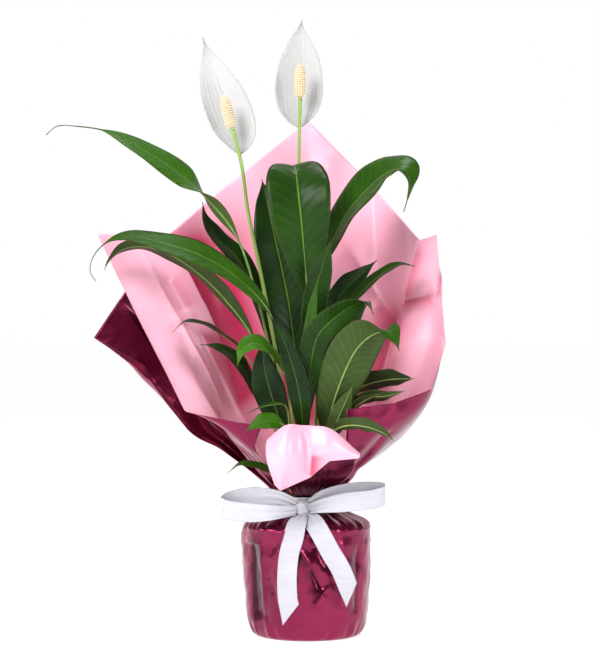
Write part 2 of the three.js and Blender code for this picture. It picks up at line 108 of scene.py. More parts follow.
def smooth(x: Array, low: float, high: float) -> Array:
    """A smooth step from 0 at low to 1 at high."""
    s = np.clip((x - low) / (high - low), 0, 1)
    return s * s * (3 - 2 * s)


def ripple(x: Array) -> Array:
    """A triangle wave of period 1 between -1 and 1, which folds a sheet along sharp lines."""
    return 4 * np.abs(x - np.floor(x) - 0.5) - 1


@dataclass(frozen=True)
class Crumple:
    """Sharp creases in random directions, as in film that was crushed and smoothed out again.

    Args:
        seed: picks the creases.
        longest: the widest spacing of creases in millimetres.
        shortest: the closest spacing.
        count: how many sets of creases.
        stretch: how much longer the creases run up and down than across.
    """

    seed: int
    longest: float
    shortest: float
    count: int
    stretch: float = 1.0

    def height(self, places: Array) -> Array:
        """The crease pattern at each place, roughly between -1 and 1.

        Args:
            places: points in millimetres, shaped (samples, 3).

        Returns:
            The height at each point.
        """
        random = np.random.RandomState(self.seed)
        total, weight = np.zeros(len(places)), 0.0
        bent = places + CREASE_WANDER * np.sin(places[:, [1, 2, 0]] / CREASE_WANDER_LENGTH + self.seed)
        for spacing in np.geomspace(self.longest, self.shortest, self.count):
            direction = unit(random.normal(size=3) * (1, 1, 1 / self.stretch))
            total += spacing * ripple(bent @ direction / spacing + random.uniform())
            weight += spacing
        return total / weight * CRUMPLE_GAIN


@dataclass(frozen=True)
class Crease:
    """A long fold pressed into a panel, with painted shade beside it, laid out as it is seen from the
    front.

    Args:
        start: where it begins, as x and z in millimetres.
        end: where it ends.
        width: half its width in millimetres.
        lift: how far it stands out along the panel's normal, in millimetres.
        shade: how strongly painted shade darkens the colour on its right, seen from start to end.
        depth: how far that painted shade reaches, in millimetres.
    """

    start: tuple[float, float]
    end: tuple[float, float]
    width: float = 4.0
    lift: float = 0.0
    shade: float = 0.0
    depth: float = 12.0

    def reach(self, places: Array) -> tuple[Array, Array]:
        """The fold's lift and shade at places on the panel.

        Args:
            places: points in millimetres, shaped (samples, 3).

        Returns:
            The lift in millimetres, and the shade from 0 to 1.
        """
        run = np.subtract(self.end, self.start)
        long = float(np.hypot(*run))
        off = places[:, [0, 2]] - np.array(self.start)
        t = np.clip(off @ run / long**2, 0, 1)
        off = off - t[:, None] * run
        distance = np.hypot(*off.T)
        right = smooth((off[:, 0] * run[1] - off[:, 1] * run[0]) / long, -1.5, 1.5)
        ends = 0.2 + 0.8 * smooth(t, 0.0, 0.2) * (1 - smooth(t, 0.8, 1.0))
        lift = self.lift * ends * np.exp(-distance / self.width)
        # The second number is painted shade on the fold's right.
        return lift, self.shade * ends * right * np.exp(-((distance / self.depth) ** 2))


@dataclass
class Spine:
    """A path through space that a leaf, stalk or ribbon follows.

    Args:
        path: control points in millimetres.
        side: direction across the piece at its start.
        tip_side: direction across it at its end.
        turn_from: place along the path where the turn from side to tip_side begins.
        turn_to: place along the path where it ends.
    """

    path: Sequence[Point]
    side: Point = (1, 0, 0)
    tip_side: Point | None = None
    turn_from: float = 0.0
    turn_to: float = 1.0

    def frames(self, t: Array) -> tuple[Array, Array, Array, Array]:
        """The place, direction, side and upper normal at each t.

        Args:
            t: places along the path, from 0 to 1.

        Returns:
            Four arrays shaped (samples, 3): place in millimetres, direction, side and normal.
        """
        net = np.array(self.path, float)[:, None, :]
        place = catmull(net, t)
        along = unit(catmull(net, np.minimum(t + 1e-3, 1)) - catmull(net, np.maximum(t - 1e-3, 0)))
        turn = np.clip((t - self.turn_from) / max(self.turn_to - self.turn_from, 1e-6), 0, 1)[:, None]
        hint = np.array(self.side, float) * (1 - turn) + np.array(self.tip_side or self.side, float) * turn
        side = unit(hint - along * np.sum(hint * along, axis=1, keepdims=True))
        return place, along, side, np.cross(side, along)


# ---------------------------------------------------------------- modelling by hand


def only(*objects: bpy.types.Object) -> None:
    """Selects these objects alone and makes the last of them active."""
    bpy.ops.object.select_all(action="DESELECT")
    for item in objects:
        item.select_set(True)
    bpy.context.view_layer.objects.active = objects[-1]


def newest(name: str) -> bpy.types.Object:
    """Names the object that an operator has just added.

    Args:
        name: its name.

    Returns:
        The object.
    """
    item = bpy.context.active_object
    item.name = item.data.name = name
    return item


def places_of(item: bpy.types.Object) -> Array:
    """Reads where a mesh's points are.

    Args:
        item: the mesh object.

    Returns:
        The places in the mesh's own units, shaped (samples, 3).
    """
    flat = np.empty(len(item.data.vertices) * 3)
    item.data.vertices.foreach_get("co", flat)
    return flat.reshape(-1, 3)


def put(item: bpy.types.Object, places: Array) -> None:
    """Moves a mesh's points to places in millimetres and shades it smooth.

    Args:
        item: the selected mesh object.
        places: a place for each point, shaped (samples, 3).
    """
    item.data.vertices.foreach_set("co", (places * MM).ravel())
    item.data.update()
    bpy.ops.object.shade_smooth()


def ball(name: str, segments: int, rings: int) -> bpy.types.Object:
    """A ball of radius 1, to be shaped.

    Args:
        name: the new object's name.
        segments: faces round it.
        rings: faces from pole to pole.

    Returns:
        The ball.
    """
    bpy.ops.object.select_all(action="DESELECT")
    bpy.ops.mesh.primitive_uv_sphere_add(segments=segments, ring_count=rings, radius=1)
    return newest(name)


def grid(name: str, columns: int, rows: int, shape: Callable[[Array, Array], Array]) -> bpy.types.Object:
    """A grid of quads laid out and then shaped onto a surface.

    Args:
        name: the new object's name.
        columns: faces across.
        rows: faces along.
        shape: takes u and v from 0 to 1 for every point and gives places in millimetres.

    Returns:
        The shaped mesh object, with the grid's own UV map.
    """
    bpy.ops.object.select_all(action="DESELECT")
    bpy.ops.mesh.primitive_grid_add(x_subdivisions=columns, y_subdivisions=rows, size=1, calc_uvs=True)
    item = newest(name)
    flat = places_of(item)
    put(item, shape(flat[:, 0] + 0.5, flat[:, 1] + 0.5))
    return item


def close_seam(item: bpy.types.Object, ends: bool = False) -> None:
    """Merges the points that meet along a seam or at a pole and turns the faces outwards.

    Args:
        item: a grid that has been shaped until its edges meet.
        ends: whether its open ends are filled as well.
    """
    only(item)
    bpy.ops.object.mode_set(mode="EDIT")
    bpy.ops.mesh.select_all(action="SELECT")
    bpy.ops.mesh.remove_doubles(threshold=SEAM_GAP)
    if ends:
        bpy.ops.mesh.fill_holes(sides=0)
        bpy.ops.mesh.select_all(action="SELECT")
    bpy.ops.mesh.normals_make_consistent(inside=False)
    bpy.ops.object.mode_set(mode="OBJECT")


def tube(name: str, spine: Spine, radius: Callable[[Array], Array], rows: int, sides: int = 10,
         offset: Callable[[Array], Array] | None = None,
         span: tuple[float, float] = (0, 1)) -> bpy.types.Object:
    """A tube bent along a spine, closed at both ends.

    Args:
        name: the new object's name.
        spine: the path to follow.
        radius: the radius in millimetres at each t.
        rows: rings along the tube.
        sides: corners of a ring.
        offset: how far in millimetres the tube lies off the spine, along its normal, at each t.
        span: the stretch of the spine that it covers.

    Returns:
        The bent tube.
    """

    def surface(u: Array, v: Array) -> Array:
        """Places on the tube.

        Args:
            u: place round it, from 0 to 1.
            v: place along it, from 0 to 1.

        Returns:
            The places in millimetres, shaped (samples, 3).
        """
        t = span[0] + (span[1] - span[0]) * v
        place, _, side, normal = spine.frames(t)
        turn = 2 * math.pi * u[:, None]
        lift = offset(t)[:, None] * normal if offset else 0.0
        return place + radius(t)[:, None] * (side * np.cos(turn) + normal * np.sin(turn)) + lift

    item = grid(name, sides, rows, surface)
    close_seam(item, ends=True)
    return item


def attribute(item: bpy.types.Object, name: str, values: Array | float) -> None:
    """Stores one number at every point of a mesh, for its material to read.

    Args:
        item: the mesh object.
        name: the attribute's name.
        values: a number for each point, or one for all.
    """
    count = len(item.data.vertices)
    layer = item.data.attributes.new(name, "FLOAT", "POINT")
    layer.data.foreach_set("value", np.broadcast_to(np.asarray(values, np.float32), (count,)).copy())


def solidify(item: bpy.types.Object, thickness: float, offset: float = 0.0, other_side: int = 0) -> None:
    """Gives a sheet its thickness and applies it.

    Args:
        item: the sheet.
        thickness: in millimetres.
        offset: -1 to grow inwards, 1 to grow outwards, 0 for both ways.
        other_side: how many material slots further on the far side's finish is.
    """
    only(item)
    bpy.ops.object.modifier_add(type="SOLIDIFY")
    modifier = item.modifiers[-1]
    modifier.thickness = thickness * MM
    modifier.offset = offset
    modifier.material_offset = other_side
    modifier.use_even_offset = False
    bpy.ops.object.modifier_apply(modifier=modifier.name)


def join(name: str, *items: bpy.types.Object) -> bpy.types.Object:
    """Joins several meshes into one.

    Args:
        name: the joined object's name.
        items: the meshes, the last of which takes in the others.

    Returns:
        The joined object.
    """
    only(*items)
    bpy.ops.object.join()
    return newest(name)


def settle(item: bpy.types.Object, node: str) -> bpy.types.Object:
    """Ties a finished piece to the frame and reports it.

    Args:
        item: the finished piece.
        node: the CAD node it stands for.

    Returns:
        The same piece.
    """
    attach(item, BODY)
    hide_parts(node)
    places = places_of(item) / MM
    low, high = places.min(0).round(), places.max(0).round()
    faces = len(item.data.polygons)
    LOG.info("%s: %d faces, box %s to %s mm", item.name, faces, low.tolist(), high.tolist())
    return item


# ---------------------------------------------------------------- shader maths


class Value:
    """A number that varies over a surface: a socket on which Python's operators add Math nodes."""

    def __init__(self, box: "Paintbox", socket: bpy.types.NodeSocket) -> None:
        """Wraps a socket of a node tree."""
        self.box = box
        self.socket = socket

    def _math(self, operation: str, *values: "Value | float") -> "Value":
        """Adds one Math node."""
        return self.box.value("ShaderNodeMath", {"operation": operation}, dict(enumerate(values)))

    def __add__(self, other: "Value | float") -> "Value":
        """The sum."""
        return self._math("ADD", self, other)

    __radd__ = __add__

    def __sub__(self, other: "Value | float") -> "Value":
        """The difference."""
        return self._math("SUBTRACT", self, other)

    def __rsub__(self, other: float) -> "Value":
        """The difference, the other way round."""
        return self._math("SUBTRACT", other, self)

    def __mul__(self, other: "Value | float") -> "Value":
        """The product."""
        return self._math("MULTIPLY", self, other)

    def __abs__(self) -> "Value":
        """The size without its sign."""
        return self._math("ABSOLUTE", self)

    def sine(self) -> "Value":
        """The sine of an angle in radians."""
        return self._math("SINE", self)

    def least(self, other: "Value | float") -> "Value":
        """The smaller of two."""
        return self._math("MINIMUM", self, other)

    def most(self, other: "Value | float") -> "Value":
        """The larger of two."""
        return self._math("MAXIMUM", self, other)

    def step(self, low: float, high: float) -> "Value":
        """A smooth step over a stretch of values.

        Args:
            low: the value that gives 0, which may be the larger.
            high: the value that gives 1.

        Returns:
            The stepped value.
        """
        if low > high:
            return 1 - self.step(high, low)
        return self.box.value("ShaderNodeMapRange", {"interpolation_type": "SMOOTHSTEP"},
                              {"Value": self, "From Min": low, "From Max": high})


class Paintbox:
    """One node material in the making."""

    def __init__(self, name: str) -> None:
        """Starts a material with a plain Principled shader.

        Args:
            name: the material's name.
        """
        self.material = bpy.data.materials.new(name)
        self.material.use_nodes = True
        self.tree = self.material.node_tree
        self.shader = self.tree.nodes["Principled BSDF"]

    def _fill(self, socket: bpy.types.NodeSocket,
              value: Value | bpy.types.NodeSocket | float | Colour) -> None:
        """Links or sets one socket.

        Args:
            socket: the socket.
            value: what it is linked to, or set to.
        """
        if isinstance(value, Value):
            self.tree.links.new(value.socket, socket)
        elif isinstance(value, bpy.types.NodeSocket):
            self.tree.links.new(value, socket)
        elif isinstance(value, tuple) and socket.type == "RGBA":
            socket.default_value = (*value, 1.0)
        else:
            socket.default_value = value

    def node(self, kind: str, settings: dict | None = None, inputs: dict | None = None) -> bpy.types.Node:
        """Adds any node.

        Args:
            kind: the node's type.
            settings: its properties, set before its sockets.
            inputs: values or links for its sockets, by name or number.

        Returns:
            The node.
        """
        node = self.tree.nodes.new(kind)
        for key, value in (settings or {}).items():
            setattr(node, key, value)
        for key, value in (inputs or {}).items():
            self._fill(node.inputs[key], value)
        return node

    def value(self, kind: str, settings: dict | None = None, inputs: dict | None = None,
              output: str | int = 0) -> Value:
        """Adds a node and wraps one of its outputs."""
        return Value(self, self.node(kind, settings, inputs).outputs[output])

    def mix(self, share: Value | float, a: bpy.types.NodeSocket | Colour,
            b: bpy.types.NodeSocket | Colour) -> bpy.types.NodeSocket:
        """One colour fading into another as share goes from 0 to 1."""
        return self.node("ShaderNodeMix", {"data_type": "RGBA"}, {0: share, 6: a, 7: b}).outputs[2]

    def stored(self, name: str) -> Value:
        """A number stored at the mesh's points."""
        return self.value("ShaderNodeAttribute", {"attribute_name": name}, output="Fac")

    def uv(self) -> tuple[Value, Value]:
        """How far across and along the piece a place lies, from 0 to 1."""
        split = self.node("ShaderNodeSeparateXYZ", None, {0: self.node("ShaderNodeTexCoord").outputs["UV"]})
        return Value(self, split.outputs[0]), Value(self, split.outputs[1])

    def place(self) -> bpy.types.NodeSocket:
        """Object coordinates."""
        return self.node("ShaderNodeTexCoord").outputs["Object"]

    def stretched(self, scale: Point) -> bpy.types.NodeSocket:
        """Object coordinates scaled along each axis."""
        return self.node("ShaderNodeMapping", None, {"Vector": self.place(), "Scale": scale}).outputs[0]

    def noise(self, scale: float, detail: float = 3.0, roughness: float = 0.5,
              at: bpy.types.NodeSocket | None = None, distortion: float = 0.0) -> Value:
        """Fractal noise between about 0.3 and 0.7.

        Args:
            scale: how many patches to a metre.
            detail: how many finer layers it has.
            roughness: how strong those layers are.
            at: the place that it is read at, or the object's own coordinates.
            distortion: how far it swirls.

        Returns:
            The noise.
        """
        inputs = {"Vector": at or self.place(), "Scale": scale, "Detail": detail, "Roughness": roughness}
        return self.value("ShaderNodeTexNoise", None, inputs | {"Distortion": distortion})

    def bump(self, height: Value, distance: float) -> bpy.types.NodeSocket:
        """Turns a height between 0 and 1 into a normal; distance is in metres."""
        inputs = {"Height": height, "Distance": distance, "Strength": 1.0}
        return self.node("ShaderNodeBump", None, inputs).outputs[0]

    def done(self, **sockets: Value | bpy.types.NodeSocket | float | Colour) -> bpy.types.Material:
        """Finishes the material.

        Args:
            sockets: values or links for the shader's sockets, with _ for a space in a name.

        Returns:
            The material.
        """
        for key, value in sockets.items():
            self._fill(self.shader.inputs[key.replace("_", " ")], value)
        return self.material


# ---------------------------------------------------------------- finishes


DRY_EDGE = (0.05, 0.022, 0.015)
DRY_GREY = (0.22, 0.21, 0.17)
DRY_BROWN = (0.09, 0.06, 0.035)
WET_PEAT = (0.012, 0.008, 0.005)
DRY_PEAT = (0.06, 0.035, 0.02)
PERLITE = (0.55, 0.52, 0.46)
SCUFFED = (0.32, 0.22, 0.17)


@dataclass(frozen=True)
class LeafFace:
    """One face of a leaf: green with arched side veins, a pale midrib, a dry tip and a thin dark edge.

    Args:
        name: the material's name.
        deep: the darkest green, for an old leaf and for painted shade on a leaf in shadow.
        fresh: the brightest green, for a young leaf and for a leaf in full light.
        rib: the colour of the midrib and the lit side veins.
        rib_width: how much of each half the midrib takes up.
        vein_depth: how deep the side veins are pressed in.
        gloss: the lowest roughness.
    """

    name: str
    deep: Colour
    fresh: Colour
    rib: Colour
    rib_width: float
    vein_depth: float
    gloss: float

    def material(self) -> bpy.types.Material:
        """Builds the node material."""
        box = Paintbox(self.name)
        across, along = box.uv()
        off_rib = abs(across - 0.5) * 2
        tone, dry = box.stored("tone"), box.stored("dry")
        phase = (along - off_rib * VEIN_SLANT + off_rib * off_rib * 0.05) * VEIN_RATE
        vein = phase.sine() * 0.5 + 0.5
        fine = (phase * 5).sine() * 0.5 + 0.5
        patch = box.noise(38, 4, 0.6).step(0.35, 0.7)
        # Painted shade: the stored tone is partly the leaf's age and partly how much light reaches it.
        green = box.mix((tone * 0.85 + patch * 0.15).least(1.0), self.deep, self.fresh)
        lit = box.mix(vein.step(0.86, 1.0) * (tone * 0.10 + 0.02), green, self.rib)
        rib = (off_rib + box.noise(160, 2) * 0.02).step(self.rib_width, self.rib_width * 0.35)
        ribbed = box.mix(rib * (1 - along * 0.75), lit, self.rib)
        edged = box.mix(off_rib.step(0.93, 1.0) * 0.6, ribbed, DRY_EDGE)
        tip = box.mix(box.noise(90, 3).step(0.4, 0.62), DRY_GREY, DRY_BROWN)
        colour = box.mix(dry, edged, tip)
        height = vein * 0.9 + fine * 0.05 + box.noise(420, 2) * 0.25
        rough = box.noise(120, 3) * 0.22 + (self.gloss + dry * 0.25)
        normal = box.bump(height, self.vein_depth * MM)
        return box.done(Base_Color=colour, Roughness=rough, Normal=normal, Specular_IOR_Level=0.14)


@dataclass(frozen=True)
class Stalk:
    """A fresh stalk, streaked lengthwise and paler towards the soil.

    Args:
        name: the material's name.
        pale: its colour at the soil.
        green: its colour higher up.
    """

    name: str
    pale: Colour
    green: Colour

    def material(self) -> bpy.types.Material:
        """Builds the node material."""
        box = Paintbox(self.name)
        streak = box.noise(1.0, 3, at=box.stretched((900, 900, 60)))
        height = box.value("ShaderNodeSeparateXYZ", None, {0: box.place()}, "Z")
        share = height.step(0.12, 0.34) * 0.6 + streak.step(0.35, 0.65) * 0.4
        colour = box.mix(share, self.pale, self.green)
        return box.done(Base_Color=colour, Roughness=streak * 0.2 + 0.36, Normal=box.bump(streak, 0.0002))


@dataclass(frozen=True)
class Spathe:
    """A white hood with faint lengthwise veins and a greenish tail and foot.

    Args:
        name: the material's name.
        white: its colour between the veins.
        vein: the colour of the veins.
        tail: the colour of its tail and foot.
    """

    name: str
    white: Colour
    vein: Colour
    tail: Colour

    def material(self) -> bpy.types.Material:
        """Builds the node material."""
        box = Paintbox(self.name)
        across, along = box.uv()
        off_rib = abs(across - 0.5) * 2
        pleat = (off_rib * 34 + box.noise(60, 2) * 1.5).sine() * 0.5 + 0.5
        crossing = ((along - off_rib * 0.1) * 260).sine() * 0.5 + 0.5
        shaded = box.mix(pleat.step(0.6, 1.0) * 0.06 + off_rib.step(0.09, 0.0) * 0.3, self.white, self.vein)
        ends = along.step(0.9, 0.99) + along.step(0.06, 0.0) * 0.6
        colour = box.mix(ends.least(1.0), shaded, self.tail)
        height = pleat * 0.5 + crossing * 0.05 + box.noise(300, 2) * 0.2
        return box.done(Base_Color=colour, Roughness=0.5, Normal=box.bump(height, 0.0004), Sheen_Weight=0.1,
                        Subsurface_Weight=0.12, Subsurface_Radius=(0.006, 0.006, 0.005))


@dataclass(frozen=True)
class Spadix:
    """Cream florets, with painted shade that turns the gaps between them browner.

    Args:
        name: the material's name.
        crown: the colour of a floret's top.
        gap: the painted shade colour between florets.
    """

    name: str
    crown: Colour
    gap: Colour

    def material(self) -> bpy.types.Material:
        """Builds the node material."""
        box = Paintbox(self.name)
        knob = box.stored("knob")
        grain = box.noise(1400, 3)
        # Painted shade: low knob values, between the florets, take the gap colour.
        colour = box.mix((knob.step(0.1, 0.75) * 0.8 + grain * 0.3).least(1.0), self.gap, self.crown)
        return box.done(Base_Color=colour, Roughness=0.75, Normal=box.bump(grain, 0.0003),
                        Subsurface_Weight=0.1)


@dataclass(frozen=True)
class Film:
    """Wrapping film, finely crumpled, matt or metallic, with painted shade in its folds.

    Args:
        name: the material's name.
        colour: its lightest colour.
        shade: the colour of its duller patches.
        metallic: how metallic it is.
        roughness: its middle roughness.
        crumple: how deep the fine crumple is.
        deep: its painted shade colour in folds, standing in for the shade there and the light thrown from
            film to film.
        patches: how many facets to a metre.
    """

    name: str
    colour: Colour
    shade: Colour
    metallic: float
    roughness: float
    crumple: float
    deep: Colour
    patches: float

    def material(self) -> bpy.types.Material:
        """Builds the node material."""
        box = Paintbox(self.name)
        wide = box.noise(7, 3, 0.55)
        fine = box.noise(95, 3, 0.6, distortion=0.4)
        bend = box.noise(self.patches, 1, 0.4, distortion=0.6)
        crease = (abs(bend * 2 - 1) * -9 + 1).most(0)
        plain = box.mix((wide.step(0.3, 0.7) * 0.7 + fine * 0.3).least(1.0), self.shade, self.colour)
        # Painted shade: the stored deep number turns the film towards its deep colour in folds, beside
        # creases and near the tie.
        colour = box.mix(box.stored("deep"), plain, self.deep)
        rough = fine * 0.1 + wide * 0.08 + (self.roughness - 0.09)
        height = bend * 6 + crease + fine * 0.15
        normal = box.bump(height, self.crumple * MM)
        return box.done(Base_Color=colour, Metallic=self.metallic, Roughness=rough, Normal=normal,
                        Coat_Weight=0.15, Coat_Roughness=0.2)


@dataclass(frozen=True)
class Satin:
    """White satin ribbon: a close weave across its length, a firm woven edge and a soft sheen.

    Args:
        name: the material's name.
        white: its colour.
        shade: the colour of its edges and slubs.
        weft: threads across it, from end to end.
        warp: threads along it, from edge to edge.
    """

    name: str
    white: Colour
    shade: Colour
    weft: float = 190.0
    warp: float = 60.0

    def material(self) -> bpy.types.Material:
        """Builds the node material."""
        box = Paintbox(self.name)
        across, along = box.uv()
        edge = (abs(across - 0.5) * 2).step(0.9, 0.96)
        weft = (along * (self.weft * 2 * math.pi)).sine() * 0.5 + 0.5
        warp = (across * (self.warp * 2 * math.pi)).sine() * 0.5 + 0.5
        slub = box.noise(1.0, 3, at=box.stretched((60, 60, 500)))
        colour = box.mix(edge * 0.5 + slub.step(0.35, 0.75) * 0.25, self.white, self.shade)
        height = weft * 0.35 + warp * 0.2 + edge * 0.6 + slub * 0.4
        rough = slub * 0.2 + edge * 0.2 + 0.28
        return box.done(Base_Color=colour, Roughness=rough, Normal=box.bump(height, 0.00012),
                        Sheen_Weight=0.35, Sheen_Roughness=0.35, Anisotropic=0.45)


@dataclass(frozen=True)
class PottingMix:
    """Damp potting mix: dark peat with paler fibres and white specks of perlite.

    Args:
        name: the material's name.
    """

    name: str

    def material(self) -> bpy.types.Material:
        """Builds the node material."""
        box = Paintbox(self.name)
        crumb = box.noise(260, 5, 0.7)
        inputs = {"Vector": box.place(), "Scale": 210.0}
        cells = box.value("ShaderNodeTexVoronoi", {"feature": "F1"}, inputs)
        peat = box.mix(crumb.step(0.35, 0.65), WET_PEAT, DRY_PEAT)
        colour = box.mix(cells.step(0.16, 0.1) * box.noise(70, 2).step(0.5, 0.62), peat, PERLITE)
        return box.done(Base_Color=colour, Roughness=0.92, Normal=box.bump(crumb, 0.002))


@dataclass(frozen=True)
class MouldedPlastic:
    """The grower's pot: thin brown plastic, finely pitted, with scuffs.

    Args:
        name: the material's name.
        colour: the colour of the plastic.
    """

    name: str
    colour: Colour

    def material(self) -> bpy.types.Material:
        """Builds the node material."""
        box = Paintbox(self.name)
        pits = box.noise(900, 2)
        scuff = box.noise(30, 5, 0.7).step(0.55, 0.75)
        colour = box.mix(scuff * 0.35, self.colour, SCUFFED)
        rough = scuff * 0.2 + pits * 0.1 + 0.42
        return box.done(Base_Color=colour, Roughness=rough, Normal=box.bump(pits, 0.0002))


UPPER_LEAF = LeafFace("leaf_upper_face", deep=(0.003, 0.012, 0.002), fresh=(0.034, 0.125, 0.003),
                      rib=(0.13, 0.24, 0.025), rib_width=0.045, vein_depth=0.16, gloss=0.26)
UNDER_LEAF = LeafFace("leaf_under_face", deep=(0.014, 0.022, 0.006), fresh=(0.055, 0.100, 0.020),
                      rib=(0.20, 0.32, 0.04), rib_width=0.07, vein_depth=0.14, gloss=0.40)
LEAF_STALK = Stalk("leaf_stalk", pale=(0.28, 0.36, 0.09), green=(0.09, 0.19, 0.03))
FLOWER_STALK = Stalk("flower_stalk", pale=(0.32, 0.42, 0.12), green=(0.22, 0.36, 0.06))
SPATHE = Spathe("spathe_white", white=(0.45, 0.45, 0.45), vein=(0.38, 0.40, 0.36), tail=(0.31, 0.33, 0.23))
SPADIX = Spadix("spadix_cream", crown=(0.78, 0.70, 0.53), gap=(0.46, 0.35, 0.19))
# Each film's deep colour is painted shade for its folds: crimson on the pink side, near black on the
# metallic side.
PINK_FILM = Film("film_pink", colour=(0.95, 0.49, 0.62), shade=(0.93, 0.40, 0.54), metallic=0.08,
                 roughness=0.42, crumple=0.3, deep=(0.58, 0.020, 0.10), patches=9.0)
MAGENTA_FILM = Film("film_magenta", colour=(0.26, 0.013, 0.066), shade=(0.14, 0.005, 0.035), metallic=0.85,
                    roughness=0.25, crumple=0.28, deep=(0.04, 0.001, 0.010), patches=15.0)
SATIN = Satin("ribbon_satin", white=(0.50, 0.49, 0.54), shade=(0.32, 0.31, 0.39))
POTTING_MIX = PottingMix("potting_mix")
POT_PLASTIC = MouldedPlastic("pot_plastic", colour=(0.09, 0.045, 0.03))


# ---------------------------------------------------------------- leaves


def blade_share(v: Array, tail: float = 0.0, bulge: float = BLADE_BULGE) -> Array:
    """Share of a blade's full width at v, which goes from 0 at its stalk to 1 at its drawn-out tip.

    Args:
        v: places along the blade.
        tail: share of the blade, at its tip, that has shrunk to a thread.
        bulge: a larger number puts the blade's greatest width further out.

    Returns:
        The share of the full width at each place.
    """
    s = np.clip(v / (1 - tail), 0, 1)
    return np.maximum(np.sin(math.pi * s**bulge), 0) ** (0.85 + 0.6 * s * (BLADE_BULGE / bulge) ** 2)


@dataclass
class Leaf:
    """One leaf: a stalk that runs on as the blade's midrib, and a thin folded blade.

    Args:
        name: the CAD node it stands for.
        stem: the path point where the blade begins.
        half: half the blade's greatest width in millimetres.
        side: direction across the blade at its base.
        tip_side: direction across it at its tip.
        path: the midrib's path from the soil to the tip, in millimetres.
        fold: how far each half is raised along the midrib, in degrees.
        tone: 0 for a dark leaf, 1 for a bright one; partly the leaf's age and partly painted shade for how
            much light reaches it.
        dry: share of the blade, from its tip, that has dried.
        wave: how wavy the edge is, as a share of the width.
        tail: share of the blade, at its tip, that has shrunk to a thread.
        bulge: where the blade is widest, as for blade_share.
        turn: the stretch of the blade over which side turns into tip_side.
        columns: faces across the blade.
        rows: faces along it.
    """

    name: str
    stem: int
    half: float
    side: Point
    tip_side: Point | None = None
    path: Sequence[Point] = ()
    fold: float = 18.0
    tone: float = 0.15
    dry: float = 0.0
    wave: float = 0.06
    tail: float = 0.0
    bulge: float = BLADE_BULGE
    turn: tuple[float, float] = (0.0, 1.0)
    columns: int = 12
    rows: int = 64

    @property
    def start(self) -> float:
        """Place along the path where the blade begins."""
        return self.stem / (len(self.path) - 1)

    @property
    def spine(self) -> Spine:
        """The path with its sides."""
        first, last = (self.start + (1 - self.start) * share for share in self.turn)
        return Spine(self.path, self.side, self.tip_side, first, last)

    def surface(self, u: Array, v: Array) -> Array:
        """Places on the blade.

        Args:
            u: place across it, from 0 to 1.
            v: place along it, from 0 to 1.

        Returns:
            The places in millimetres, shaped (samples, 3).
        """
        place, _, side, normal = self.spine.frames(self.start + (1 - self.start) * v * BLADE_END)
        a = 2 * u - 1
        thread = 0.45 + 0.9 * (self.tail > 0) * (1 - v)
        width = np.maximum(self.half * blade_share(v, self.tail, self.bulge), thread)
        rise = math.sin(math.radians(self.fold)) * (np.sqrt(a * a + 0.004) - 0.063)
        beat = len(self.name) * 0.7 + self.half
        phase = 3.4 * v + 0.11 * beat + 0.27 * np.sign(a)
        wave = self.wave * np.abs(a) ** 2.2 * np.sin(2 * math.pi * phase)
        veins = 0.003 * np.sin((v - VEIN_SLANT * np.abs(a)) * VEIN_RATE) * np.abs(a) * (1 - np.abs(a)) * 4
        lift = width * (rise - 0.1 * a * a + wave + veins)
        reach = width * a * math.cos(math.radians(self.fold))
        return place + side * reach[:, None] + normal * lift[:, None]

    def radius(self, t: Array) -> Array:
        """The stalk's radius, which thins along the blade as its midrib.

        Args:
            t: places along the path.

        Returns:
            The radius in millimetres at each place.
        """
        along = np.clip((t - self.start) / (1 - self.start), 0, 1)
        foot = 1.9 - 0.75 * np.clip(t / max(self.start, 0.01), 0, 1)
        return np.where(t < self.start, foot, 1.15 - 1.0 * along**0.7) * min(1.0, 0.6 + self.half / 40)

    def sink(self, t: Array) -> Array:
        """How far the midrib stands below the blade's upper face."""
        depth = np.minimum((t - self.start) * 12, 1.0) * self.radius(t) * 0.75
        return -np.where(t < self.start, 0.0, depth)

    def build(self, finishes: dict[str, bpy.types.Material]) -> bpy.types.Object:
        """Models and dresses the leaf.

        Args:
            finishes: the materials of its upper face, its under face and its stalk.

        Returns:
            The leaf, settled in the frame.
        """
        blade = grid(self.name + "_blade", self.columns, self.rows, self.surface)
        rows = np.array([item.uv[1] for item in blade.data.uv_layers[0].data])
        along = np.zeros(len(blade.data.vertices))
        along[[loop.vertex_index for loop in blade.data.loops]] = rows
        # tone holds the leaf's age and painted shade for how shaded it sits.
        attribute(blade, "tone", self.tone)
        attribute(blade, "dry", smooth(along, 1 - self.dry, 1 - self.dry * 0.45) if self.dry else 0.0)
        for finish in ("upper", "under", "stalk"):
            blade.data.materials.append(finishes[finish])
        solidify(blade, BLADE_THICKNESS, 0.0, other_side=1)
        span = (0.0, self.start + (1 - self.start) * 0.93)
        stalk = tube(self.name + "_stalk", self.spine, self.radius, 72, 10, self.sink, span)
        stalk.data.materials.append(finishes["stalk"])
        return settle(join("leafpiece_" + self.name.removeprefix("leaf_"), stalk, blade), self.name)
